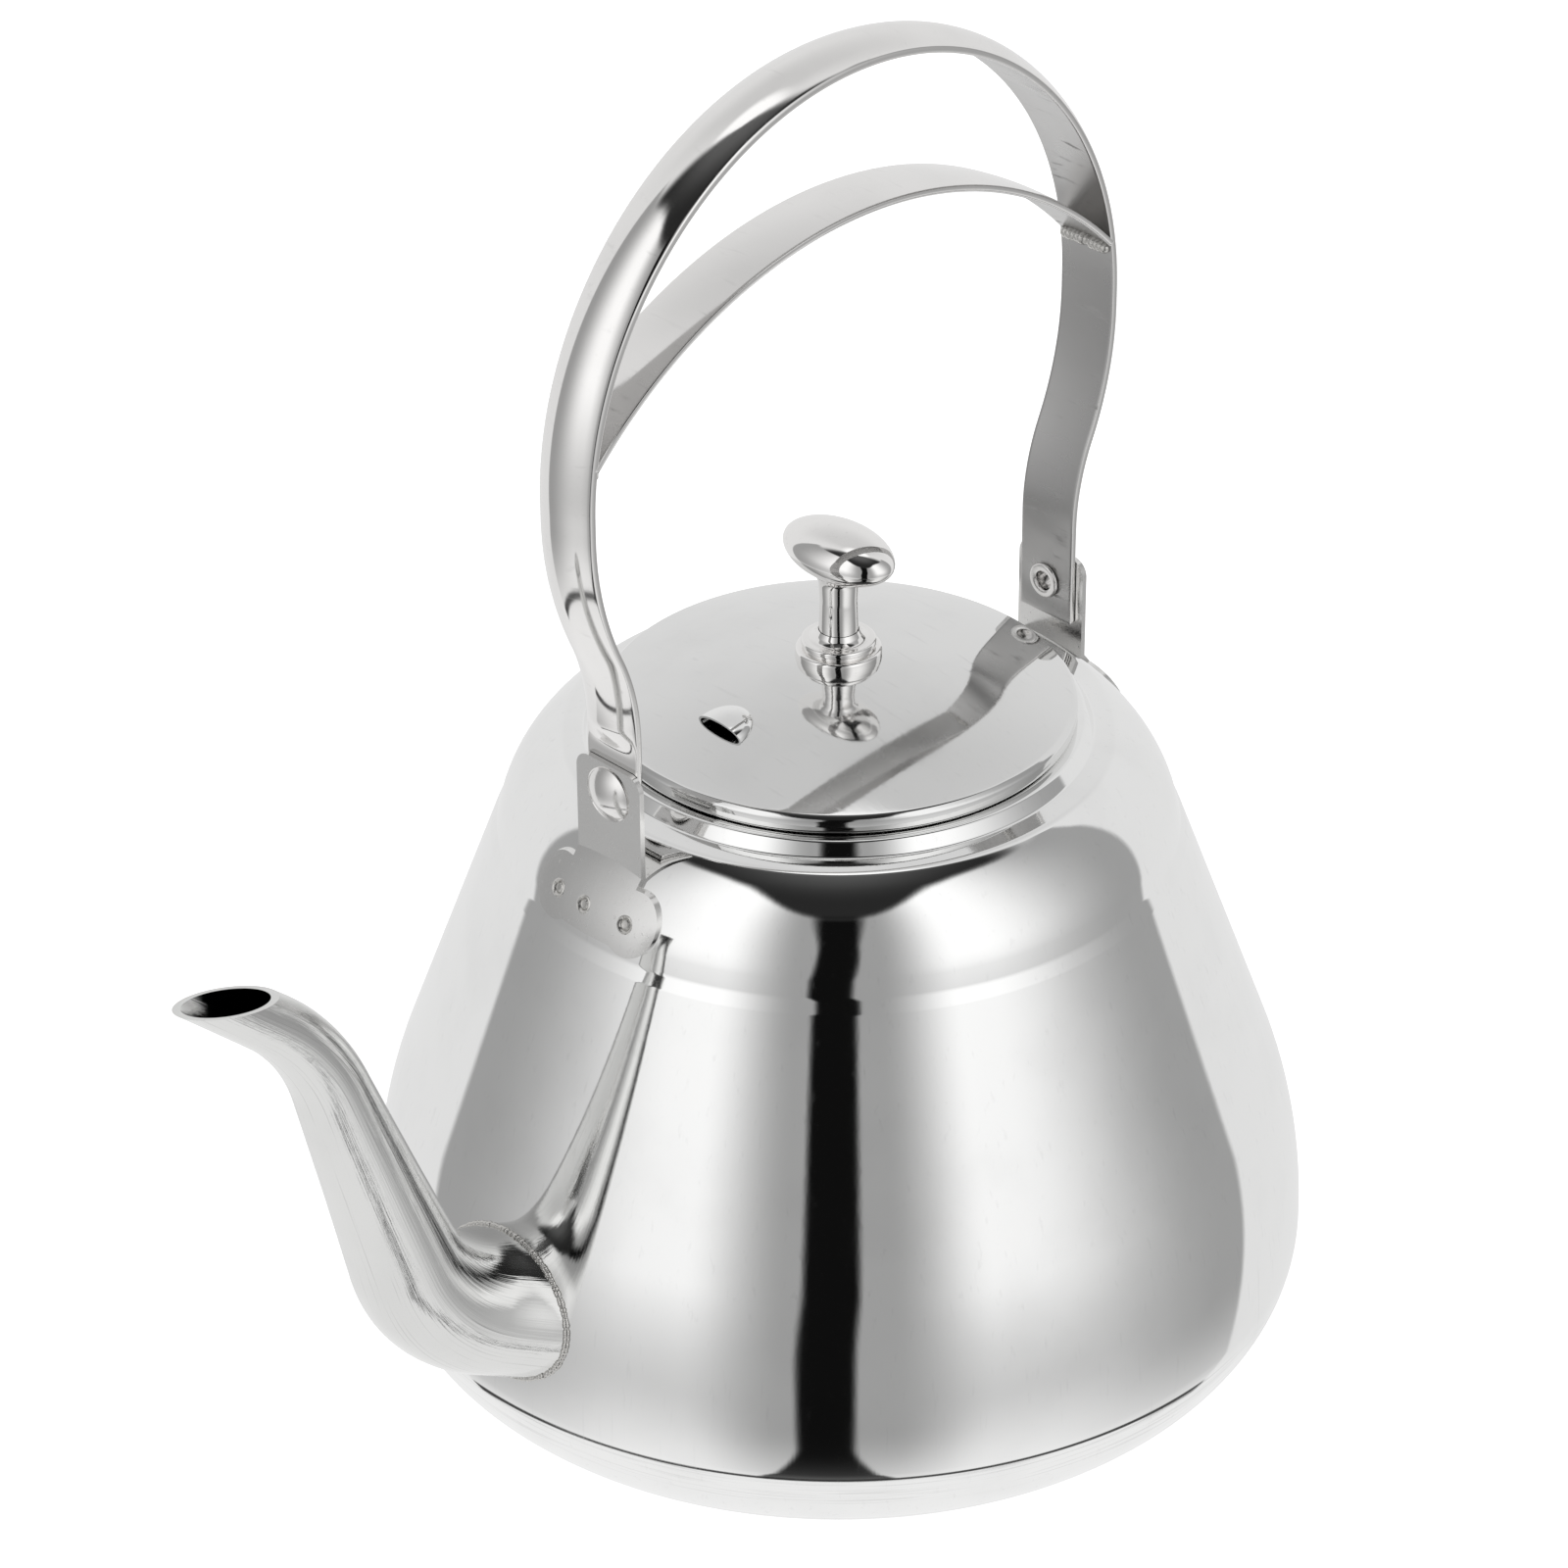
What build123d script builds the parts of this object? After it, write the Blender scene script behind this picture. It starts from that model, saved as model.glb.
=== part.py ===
from build123d import *
import math
import os

# A stainless stove kettle: a conical drawn body, an S-shaped spout, a lift-off lid with a
# turned knob, and a swinging strap handle with a second grip bar welded inside its arch.
# Frame: origin at the centre of the base, +Z up, +X towards the spout. Sizes in mm.

# ---- Body of revolution, outer surface ----------------------------------------------
body_radius = 85.0        # widest point, at the top of the base roll
roll_radius = 20.0        # round between the flat base and the side
belly_radius = 96.0       # round from the widest point into the cone
cone_lean = 20.3          # degrees the cone leans inwards
step_height = 100.4       # top of the cone, where the shoulder starts
step_inset = 0.7          # how far the shoulder steps in from the cone
step_rise = 0.6
shoulder_rise = 19.6      # from the step up to the shoulder's inner end
shoulder_margin = 8.8     # from the mouth's bore out to the shoulder's inner end
shoulder_bulge = 2.3      # sagitta of the shoulder's arc
body_wall = 0.8
pan_seam_height = 6.5     # seam between the base pan and the body shell
groove_radius = 46.0      # stiffening groove under the base
groove_width = 5.0
groove_depth = 0.4

# ---- Mouth --------------------------------------------------------------------------
mouth_radius = 40.2       # clear bore of the mouth
rim_top_width = 3.2       # the ledge that the lid rests on
rim_foot_width = 4.8      # from the bore to the outer edge of the raised rim
rim_foot_rise = 0.4       # of the rim's outer edge above the shoulder
rim_rise = 2.5            # of the rim's top above its outer edge
rim_rounds = [0.6, 0.8, 1.2]
collar_depth = 8.0        # down-turned collar below the rim

# ---- Lid ----------------------------------------------------------------------------
seat_gap = 0.1            # between the rim and the lid
plug_clearance = 0.6      # radial, between the mouth and the lid's skirt
lid_overhang = 1.8        # of the lid past the mouth's bore
lid_edge_height = 3.6
lid_edge_round = 1.5
lid_rise = 11.7           # top of the dome above the lid's lower edge
lid_wall = 0.8
skirt_depth = 9.0
skirt_wall = 0.8
skirt_flange = 1.2
vent_offset = 28.7        # mouth of the vent louvre, from the lid's centre towards the spout
vent_width = 10.4
vent_length = 6.4
vent_height = 2.3
vent_wall = 0.6

# ---- Knob ---------------------------------------------------------------------------
foot_radius = 7.7         # the turned foot under the stem
foot_height = 1.8
waist_radius = 6.2
waist_height = 0.5
ring_radius = 6.65
ring_height = 1.2
cove_height = 1.6
stem_radius = 3.5
stem_flare = 1.1
knob_length = 24.0        # along Y
knob_width = 14.4         # along X
knob_thickness = 9.8
knob_height = 20.4        # centre of the knob above the top of the lid
stem_socket = 1.6         # how far the stem reaches into the knob
screw_radius = 2.0
screw_engagement = 9.0
screw_hole_clearance = 0.2
screw_head_radius = 3.8
screw_head_height = 2.4
screw_slot_width = 1.0
screw_slot_depth = 1.2
washer_radius = 6.0
washer_thickness = 1.0

# ---- Handle -------------------------------------------------------------------------
strap_width = 12.5
strap_thickness = 1.2
strap_crown = 2.2         # how far the strap's middle stands out from its edges
pivot_rise = 6.2          # of the pivot above the mouth's rim
pivot_inset = 8.6         # from the top of the cone in to the strap's flat ends
end_drop = 7.0            # strap below the pivot
end_rise = 9.0            # flat end above the pivot, clear of the lug's corners
spoon_length = 3.0        # where the flat end grows into the curved strap
arch_widening = 9.0       # of the round top past the pivots, at the middle of the strap's edge
arch_rise = 56.9          # centre of the round top above the pivot
side_straight = 3.0
upper_bend_share = 0.59   # how much of the side's double bend is in its upper arc
grip_radius = 84.0
grip_rise = 36.0          # top of the grip bar above the centre of the round top
grip_thickness = 1.2
grip_crown = 1.0
weld_radius = 1.6

# ---- Lugs and rivets ----------------------------------------------------------------
lug_thickness = 1.0
lug_width = 15.8
lug_top = 5.7             # above the pivot
lug_corner = 3.0
foot_lobe_radius = 5.4
foot_lobe_spacing = 18.2
foot_lobe_rise = 8.2      # of the lobes' centres above the step
foot_waist = 1.0          # how far the foot's straight lower edge stays above its lobes
spot_places = (-8.5, -1.5, 8.3)
spot_radius = 1.5
spot_depth = 0.4
rivet_radius = 2.5
rivet_bore = 1.7
rivet_head_radius = 5.0
rivet_head_height = 1.7
rivet_flange_radius = 3.6
rivet_flange_height = 0.8
pivot_clearance = 0.05    # radial, between the rivet and the strap's hole
side_play = 0.1           # each side of the strap, along the rivet

# ---- Spout --------------------------------------------------------------------------
# Corners of the centre line in the plane Y = 0: distance outside the body's widest point, and height.
spout_root_corners = [(-15.0, 31.7), (14.95, 45.65)]
# The same, but with the height above the mouth's rim.
spout_top_corners = [(36.5, -12.8), (62.2, 10.3)]
spout_bends = [30.0, 45.0]
# Slanting cut of the spout's mouth, back and tip: distance outside the widest point, height above the rim.
mouth_back = (43.0, 0.0)
mouth_tip = (63.5, 4.6)
# Distance along the centre line, half width along Y, half height across the spout.
spout_sections = [
    (0.0, 18.5, 13.3),
    (13.0, 16.3, 13.0),
    (22.0, 13.4, 12.6),
    (32.0, 11.6, 11.4),
    (44.4, 9.9, 9.9),
    (63.0, 8.4, 8.4),
    (83.0, 7.0, 7.0),
    (99.0, 5.9, 5.9),
    (111.0, 5.2, 5.2),
    (133.0, 5.0, 5.0),
]
spout_steps = 30          # sections along the spout
spout_wall = 0.8
wall_distance = 13.0      # where the centre line passes through the body's wall
bead_size = 1.0           # weld bead round the spout's root
bead_gap = 0.15

# ---- Worked out from the sizes above ------------------------------------------------
lean = math.radians(cone_lean)
base_flat_radius = body_radius - roll_radius
cone_start_radius = body_radius - belly_radius * (1 - math.cos(lean))
cone_start_height = roll_radius + belly_radius * math.sin(lean)
step_radius = cone_start_radius - (step_height - cone_start_height) * math.tan(lean)
shoulder_radius = mouth_radius + shoulder_margin
shoulder_height = step_height + shoulder_rise
rim_foot_height = shoulder_height + rim_foot_rise
rim_top_height = rim_foot_height + rim_rise
seam_angle = math.degrees(math.asin((roll_radius - pan_seam_height) / roll_radius))
lid_radius = mouth_radius + lid_overhang
lid_bottom = rim_top_height + seat_gap
lid_top = lid_bottom + lid_rise
skirt_radius = mouth_radius - plug_clearance
pivot_x = step_radius - pivot_inset
pivot_height = rim_top_height + pivot_rise
lug_inner_x = pivot_x + strap_thickness / 2 + side_play
lug_outer_x = lug_inner_x + lug_thickness
dome_chord = lid_radius - lid_edge_round / 2
dome_rise = lid_rise - lid_edge_height
dome_radius = (dome_chord**2 + dome_rise**2) / (2 * dome_rise)
dome_centre = lid_top - dome_radius
arch_radius = pivot_x + arch_widening
arch_height = pivot_height + arch_rise
grip_height = arch_height + grip_rise
foot_lobe_height = step_height + foot_lobe_rise
mouth_slope = math.degrees(math.atan2(mouth_tip[1] - mouth_back[1], mouth_tip[0] - mouth_back[0]))
head_ball_radius = (rivet_head_radius**2 + rivet_head_height**2) / (2 * rivet_head_height)
far = 300.0               # past the end of everything


def upright(shape):
    """Stands a drawing up, from X and Y into X and Z."""
    return Rot(90, 0, 0) * shape


def turned(face):
    """A section drawn with X as its radius and Y as its height, turned about Z from -Y round."""
    return revolve(Rot(0, 0, -90) * upright(face), Axis.Z)


def turned_sheet(outline, wall, side):
    """Sheet metal of even thickness, turned about Z."""
    return turned(make_face(offset(Wire(outline), wall, side=side, closed=True, kind=Kind.INTERSECTION)))


def disc(radius, bottom, top):
    return Pos(0, 0, (bottom + top) / 2) * Cylinder(radius, top - bottom)


def along_x(radius, start, end, z=0.0, y=0.0):
    return Pos((start + end) / 2, y, z) * Rot(0, 90, 0) * Cylinder(radius, abs(end - start))


def on_circle(centre, radius, angle):
    angle = math.radians(angle)
    return centre[0] + radius * math.cos(angle), centre[1] + radius * math.sin(angle)


def arc(centre, radius, start, end):
    """An arc through two angles, which are measured from +X."""
    return ThreePointArc(*[on_circle(centre, radius, a) for a in (start, (start + end) / 2, end)])


def facing_rear(shape):
    """The same piece on the other side of the kettle."""
    return Rot(0, 0, 180) * shape


# ---- Body -----------------------------------------------------------------------------
def roll_curve(start_angle, inset=0.0):
    return arc((base_flat_radius, roll_radius), roll_radius - inset, start_angle, 0)


def belly_curve(inset=0.0):
    """Round from the widest point into the cone, as a smooth curve through points of its circle."""
    centre = (body_radius - belly_radius, roll_radius)
    points = [on_circle(centre, belly_radius - inset, cone_lean * step / 4) for step in range(5)]
    return Spline(*points, tangents=[(0, 1), (-math.sin(lean), math.cos(lean))])


def upper_outline():
    """Outer outline of the cone, the step and the shoulder."""
    cone = Line((cone_start_radius, cone_start_height), (step_radius, step_height))
    step = Line(cone @ 1, (step_radius - step_inset, step_height + step_rise))
    chord = Line(step @ 1, (shoulder_radius, shoulder_height))
    outward = Vector(chord.tangent_at(0).Y, -chord.tangent_at(0).X)
    shoulder = ThreePointArc(chord @ 0, chord @ 0.5 + outward * shoulder_bulge, chord @ 1)
    return [cone, step, shoulder]


def rim_outline():
    """Outline of the mouth's raised rim and its down-turned collar."""
    rim = FilletPolyline(
        (shoulder_radius, shoulder_height),
        (mouth_radius + rim_foot_width, rim_foot_height),
        (mouth_radius + rim_top_width, rim_top_height),
        (mouth_radius, rim_top_height),
        (mouth_radius, rim_top_height - collar_depth),
        radius=rim_rounds,
    )
    return rim.edges()


def band(outer, inner):
    """The face between two curves that run the same way."""
    return make_face([outer, Line(outer @ 1, inner @ 1), inner, Line(inner @ 0, outer @ 0)])


def body_layer(start_angle, upper, inset):
    """A layer of the body between its outer surface and that surface moved inwards by inset."""
    roll = band(roll_curve(start_angle), roll_curve(start_angle, inset))
    belly = band(belly_curve(), belly_curve(inset))
    side = Side.LEFT if inset > 0 else Side.RIGHT
    top = make_face(offset(Wire(upper), abs(inset), side=side, closed=True, kind=Kind.INTERSECTION))
    return turned(roll + belly + top)


def body_solid():
    """The body filled in, up to the top of the shoulder."""
    side = [roll_curve(-90), belly_curve(), *upper_outline()]
    closing = Polyline(side[-1] @ 1, (0, shoulder_height), (0, 0), side[0] @ 0)
    return turned(make_face([*side, *closing.edges()]))


def body_skin(thickness):
    """A layer lying on the outside of the body."""
    return body_layer(-80, upper_outline(), -thickness)


def make_body_shell():
    shell = body_layer(-seam_angle, [*upper_outline(), *rim_outline()], body_wall)
    return shell - root_tunnel(-spout_wall)


def make_base_pan():
    floor = Line((0, 0), (base_flat_radius, 0))
    roll = arc((base_flat_radius, roll_radius), roll_radius, -90, -seam_angle)
    pan = turned_sheet([floor, roll], body_wall, Side.LEFT)
    groove = disc(groove_radius + groove_width, 0, groove_depth) - disc(groove_radius, 0, groove_depth)
    return pan - groove


# ---- Spout ----------------------------------------------------------------------------
def spout_size(distance):
    """Half width and half height of the spout at a distance along its centre line."""
    for (d0, w0, h0), (d1, w1, h1) in zip(spout_sections, spout_sections[1:]):
        if distance <= d1:
            share = (distance - d0) / (d1 - d0)
            return w0 + (w1 - w0) * share, h0 + (h1 - h0) * share
    return spout_sections[-1][1:]


def spout_line():
    root = [(body_radius + out, height) for out, height in spout_root_corners]
    top = [(body_radius + out, rim_top_height + rise) for out, rise in spout_top_corners]
    return upright(FilletPolyline(*root, *top, radius=spout_bends))


def root_tunnel(grow):
    """A straight oval tunnel through the wall, as wide as the spout is there, and moved outwards."""
    line = spout_line()
    width, height = spout_size(wall_distance)
    plane = Plane(origin=line @ 0, x_dir=(0, 1, 0), z_dir=line % 0)
    return extrude(plane * Ellipse(width + grow, height + grow), 2.5 * wall_distance)


def above_mouth():
    """Everything above the slanting plane of the spout's mouth."""
    back = Pos(body_radius + mouth_back[0], 0, rim_top_height + mouth_back[1])
    return back * Rot(0, -mouth_slope, 0) * Pos(0, 0, far / 2) * Box(far / 2, far / 2, far)


def spout_wall_section(half_width, half_height, turn):
    """Half of a hollow oval: the wall of one pressed half of the spout."""
    outer = EllipticalCenterArc((0, 0), half_width, half_height, start_angle=-90, arc_size=180)
    bore = (half_width - spout_wall, half_height - spout_wall)
    inner = EllipticalCenterArc((0, 0), *bore, start_angle=-90, arc_size=180)
    return Rot(0, 0, turn) * make_face([outer, inner, Line(outer @ 0, inner @ 0), Line(outer @ 1, inner @ 1)])


def make_spout_half(turn):
    """One pressed half of the spout: the left one, or with a turn of 180 the right one."""
    line = spout_line()
    faces = []
    for step in range(spout_steps + 1):
        share = step / spout_steps
        plane = Plane(origin=line @ share, x_dir=(0, 1, 0), z_dir=line % share)
        faces.append(plane * spout_wall_section(*spout_size(share * line.length), turn))
    return loft(faces, ruled=True) - body_solid() - above_mouth()


def make_spout_weld():
    return (root_tunnel(bead_gap + bead_size) & body_skin(bead_size)) - root_tunnel(bead_gap)


# ---- Handle ---------------------------------------------------------------------------
def bail_path():
    """Middle of the strap's edges, round the whole arch above its two flat ends."""
    start = pivot_height + end_rise + spoon_length
    end = arch_height - side_straight
    turn = 2 * math.atan2(arch_radius - pivot_x, end - start)
    both = (end - start) / math.sin(turn)
    lower = JernArc((pivot_x, start), (0, 1), both * (1 - upper_bend_share), -math.degrees(turn))
    upper = JernArc(lower @ 1, lower % 1, both * upper_bend_share, math.degrees(turn))
    straight = Line(upper @ 1, (arch_radius, arch_height))
    top = JernArc(straight @ 1, (0, 1), arch_radius, 90)
    front = Curve() + [lower, upper, straight, top]
    return Wire(upright(front + mirror(front, Plane.YZ)).edges().sort_by(Axis.X, reverse=True))


def strap_section(thickness, crown):
    """A curved strip drawn across X, standing out by crown towards +Y."""
    half = strap_width / 2
    outer = ThreePointArc((-half, thickness / 2), (0, thickness / 2 + crown), (half, thickness / 2))
    inner = ThreePointArc((half, -thickness / 2), (0, crown - thickness / 2), (-half, -thickness / 2))
    return make_face([outer, Line(outer @ 1, inner @ 0), inner, Line(inner @ 1, outer @ 0)])


def bail_arch():
    path = bail_path()
    start = Plane(origin=path @ 0, x_dir=(0, 1, 0), z_dir=(0, 0, -1))
    return sweep(start * strap_section(strap_thickness, strap_crown), path)


def bail_end():
    """The front end of the strap: flat and square at the pivot, then growing its crown."""
    bottom, top = pivot_height - end_drop, pivot_height + end_rise
    plate = Pos(pivot_x, 0, (bottom + top) / 2) * Box(strap_thickness, strap_width, top - bottom)
    hole = along_x(rivet_radius + pivot_clearance, 0, far, pivot_height)
    flat = Plane(origin=(pivot_x, 0, top), x_dir=(0, 1, 0), z_dir=(0, 0, -1))
    full = Plane(origin=(pivot_x, 0, top + spoon_length), x_dir=(0, 1, 0), z_dir=(0, 0, -1))
    nearly_flat = flat * strap_section(strap_thickness, strap_crown / 20)
    spoon = loft([nearly_flat, full * strap_section(strap_thickness, strap_crown)])
    return (plate - hole) + spoon


def make_bail_strap():
    return bail_arch() + bail_end() + facing_rear(bail_end())


def grip_arch():
    """The grip bar's curved strip, longer than it ends up."""
    reach = math.degrees(math.asin((arch_radius + 2 * strap_crown) / grip_radius))
    path = upright(arc((0, grip_height - grip_radius - grip_crown), grip_radius, 90 - reach, 90 + reach))
    start = Plane(origin=path @ 0, x_dir=(0, 1, 0), z_dir=-(path % 0))
    return sweep(start * strap_section(grip_thickness, grip_crown), path)


def make_grip_bar():
    """The grip bar's ends follow the inner face of the handle that they are welded to."""
    return max((grip_arch() - bail_arch()).solids(), key=lambda piece: piece.volume)


def make_grip_welds():
    """A bead in each corner between the handle and the underside of the grip bar."""
    reach = arch_radius - strap_thickness / 2 - weld_radius / 2
    drop = grip_radius - math.sqrt(grip_radius**2 - reach**2)
    height = grip_height - grip_crown - drop - grip_thickness / 2 - weld_radius / 2
    bead = Pos(reach, 0, height) * Rot(90, 0, 0) * Cylinder(weld_radius, strap_width - 2 * weld_radius)
    both = [bead, facing_rear(bead)]
    cleared = [max((b - bail_arch() - grip_arch()).solids(), key=lambda piece: piece.volume) for b in both]
    return Compound(children=cleared)


# ---- Lugs and rivets ------------------------------------------------------------------
def lug_outline():
    """Front view of a lug, drawn with X across and Y as its height."""
    top = pivot_height + lug_top
    neck = Pos(0, (top + foot_lobe_height) / 2) * Rectangle(lug_width, top - foot_lobe_height)
    neck = fillet(neck.vertices().group_by(Axis.Y)[-1], lug_corner)
    lobes = [Pos(s * foot_lobe_spacing / 2, foot_lobe_height) * Circle(foot_lobe_radius) for s in (-1, 1)]
    height = 2 * foot_lobe_radius - foot_waist
    middle = Pos(0, foot_lobe_height + foot_waist / 2) * Rectangle(foot_lobe_spacing, height)
    return neck + lobes + middle


def make_lug():
    """Front lug: a flat plate beside the strap over a lobed foot that lies on the shoulder."""
    blank = extrude(Plane.YZ * lug_outline(), far)
    plate = blank & (Pos((lug_inner_x + lug_outer_x) / 2, 0, 0) * Box(lug_thickness, far, 2 * far))
    foot = blank & body_skin(lug_thickness) & (Pos(lug_inner_x + far / 2, 0, 0) * Box(far, far, 2 * far))
    lug = (plate - body_solid()) + foot
    lug -= along_x(rivet_radius, 0, far, pivot_height)
    spots = [along_x(spot_radius, 0, far, foot_lobe_height, y) for y in spot_places]
    return lug - [spot - body_skin(lug_thickness - spot_depth) - body_solid() for spot in spots]


def make_rivet():
    """Front rivet: a domed head outside the lug, and a rolled tubular end inside the strap."""
    tail = pivot_x - strap_thickness / 2 - side_play - rivet_flange_height
    roll = rivet_flange_height / 2
    crown = lug_outer_x + rivet_head_height
    head = RadiusArc((rivet_head_radius, lug_outer_x), (0, crown), -head_ball_radius)
    rolled = RadiusArc((rivet_flange_radius - roll, tail), (rivet_flange_radius - roll, tail + 2 * roll), -roll)
    outline = [
        *Polyline(
            (0, crown),
            (0, lug_inner_x),
            (rivet_bore, lug_inner_x),
            (rivet_bore, tail),
            rolled @ 0,
        ).edges(),
        rolled,
        *Polyline(
            rolled @ 1,
            (rivet_radius, tail + 2 * roll),
            (rivet_radius, lug_outer_x),
            (rivet_head_radius, lug_outer_x),
        ).edges(),
        head,
    ]
    return Pos(0, 0, pivot_height) * Rot(0, 90, 0) * turned(make_face(outline))


# ---- Lid ------------------------------------------------------------------------------
def dome_ball(inset=0.0):
    return Pos(0, 0, dome_centre) * Sphere(dome_radius - inset)


def vent_blister(shrink=0.0):
    """Half of a flattened ball that stands on the dome, cut off square at the vent's mouth."""
    ball = scale(Sphere(1), (vent_length - shrink, vent_width / 2 - shrink, vent_height - shrink))
    tilt = math.degrees(math.asin(vent_offset / dome_radius))
    height = dome_centre + math.sqrt(dome_radius**2 - vent_offset**2)
    half = ball & (Pos(-far / 2, 0, 0) * Box(far, far, far))
    return Pos(vent_offset, 0, height) * Rot(0, tilt, 0) * half


def make_lid_plate():
    """Domed plate with a rolled edge, a vent louvre and a hole for the knob's screw."""
    dome = RadiusArc((0, lid_top), (dome_chord, lid_bottom + lid_edge_height), dome_radius)
    edge = FilletPolyline(
        dome @ 1,
        (lid_radius, lid_bottom + lid_edge_height - lid_edge_round / 2),
        (lid_radius, lid_bottom),
        (skirt_radius, lid_bottom),
        radius=[0.9, 1.1],
    )
    plate = turned_sheet([dome, *edge.edges()], lid_wall, Side.RIGHT)
    plate += vent_blister() - dome_ball()
    plate -= vent_blister(vent_wall)
    return plate - disc(screw_radius + screw_hole_clearance, 0, far)


def make_lid_skirt():
    """Plug ring inside the mouth, held by its flange in the lid's rolled edge."""
    top = lid_bottom + lid_wall
    wall = disc(skirt_radius, lid_bottom - skirt_depth, top + skirt_wall)
    flange = disc(skirt_radius + skirt_flange, top, top + skirt_wall)
    return wall + flange - disc(skirt_radius - skirt_wall, 0, far)


# ---- Knob -----------------------------------------------------------------------------
def make_knob_foot():
    """Turned foot ring with a groove and a cove, seated on the dome."""
    waist = lid_top + foot_height
    ring = waist + waist_height
    cove = ring + ring_height
    rings = [
        fillet(disc(foot_radius, lid_top - 1, waist).edges().group_by(Axis.Z)[-1], foot_height * 0.4),
        disc(waist_radius, waist, ring),
        fillet(disc(ring_radius, ring, cove).edges(), ring_height * 0.45),
    ]
    outer, inner = ring_radius * 0.75, stem_radius
    bottom = cove - ring_height * 0.2
    top = cove + cove_height
    curve = RadiusArc((inner, top), (outer, bottom), -1.3 * (outer - inner + cove_height))
    cone = turned(make_face([curve, *Polyline(curve @ 1, (0, bottom), (0, top), curve @ 0).edges()]))
    return rings[0] + rings[1] + rings[2] + cone - disc(stem_radius, 0, far) - dome_ball()


def knob_ball():
    size = (knob_width / 2, knob_length / 2, knob_thickness / 2)
    return Pos(0, 0, lid_top + knob_height) * scale(Sphere(1), size)


def stem_solid():
    """Stem from the dome into the knob, flaring a little under the knob."""
    top = lid_top + knob_height - knob_thickness / 2 + stem_socket
    stem = disc(stem_radius, lid_top - 1, top)
    flare = Pos(0, 0, top - stem_flare) * Cone(stem_radius, stem_radius + stem_flare, 2 * stem_flare)
    return stem + flare - dome_ball()


def make_knob_stem():
    return stem_solid() - disc(screw_radius, 0, lid_top + screw_engagement)


def make_knob_head():
    return knob_ball() - stem_solid()


def make_knob_screw():
    """Pan-head screw up through the washer and the lid into the stem."""
    seat = washer_bottom()
    head = disc(screw_head_radius, seat - screw_head_height, seat)
    head = fillet(head.edges().group_by(Axis.Z)[0], screw_head_height * 0.4)
    slot = Pos(0, 0, seat - screw_head_height) * Box(far, screw_slot_width, 2 * screw_slot_depth)
    return head - slot + disc(screw_radius, seat, lid_top + screw_engagement)


def washer_bottom():
    edge_drop = dome_radius - math.sqrt(dome_radius**2 - washer_radius**2)
    return lid_top - lid_wall - edge_drop - washer_thickness


def make_knob_washer():
    washer = disc(washer_radius, washer_bottom(), lid_top) & dome_ball(lid_wall)
    return washer - disc(screw_radius + screw_hole_clearance, 0, far)


# ---- Every piece ----------------------------------------------------------------------
pieces = {
    "body_shell": make_body_shell(),
    "base_pan": make_base_pan(),
    "spout_half_left": make_spout_half(0),
    "spout_half_right": make_spout_half(180),
    "spout_weld": make_spout_weld(),
    "lug_front": make_lug(),
    "lug_rear": facing_rear(make_lug()),
    "rivet_front": make_rivet(),
    "rivet_rear": facing_rear(make_rivet()),
    "bail_strap": make_bail_strap(),
    "grip_bar": make_grip_bar(),
    "grip_welds": make_grip_welds(),
    "lid_plate": make_lid_plate(),
    "lid_skirt": make_lid_skirt(),
    "knob_foot": make_knob_foot(),
    "knob_stem": make_knob_stem(),
    "knob_head": make_knob_head(),
    "knob_screw": make_knob_screw(),
    "knob_washer": make_knob_washer(),
}

os.makedirs("parts", exist_ok=True)
for name, shape in pieces.items():
    export_step(shape, f"parts/{name}.step")
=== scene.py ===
# %% [markdown]
# # A polished steel kettle
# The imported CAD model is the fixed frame: every piece below is made where that model has it. Nearly
# everything here is a mirror, so two things carry the look: surfaces whose normals change smoothly, and a
# studio for them to reflect. Work goes in that order: studio and camera first, then the finishes, then each
# piece.

# %% Load the frame
import math
import bmesh
import bpy
import numpy as np
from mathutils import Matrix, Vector


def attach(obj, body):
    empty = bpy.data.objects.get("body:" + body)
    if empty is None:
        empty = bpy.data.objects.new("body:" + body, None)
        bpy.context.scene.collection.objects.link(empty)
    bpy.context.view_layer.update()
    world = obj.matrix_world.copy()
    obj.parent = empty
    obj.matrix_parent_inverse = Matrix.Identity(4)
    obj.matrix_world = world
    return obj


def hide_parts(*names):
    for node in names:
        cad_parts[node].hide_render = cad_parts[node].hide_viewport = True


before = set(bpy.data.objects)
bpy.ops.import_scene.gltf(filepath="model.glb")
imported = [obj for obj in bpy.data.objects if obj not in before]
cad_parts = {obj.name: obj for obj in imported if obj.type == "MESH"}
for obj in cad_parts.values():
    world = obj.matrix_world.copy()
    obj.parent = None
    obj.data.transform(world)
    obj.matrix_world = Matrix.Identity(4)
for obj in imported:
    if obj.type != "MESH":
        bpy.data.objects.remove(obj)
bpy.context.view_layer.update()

MM = 0.001

# %% [markdown]
# ## Sums on sockets
# A finish is mostly arithmetic on noise. Wired by hand, each sum is three lines of nodes and links. This
# class wraps a socket, so that a sum is written as Python and its Math nodes are added on the way.


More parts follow.
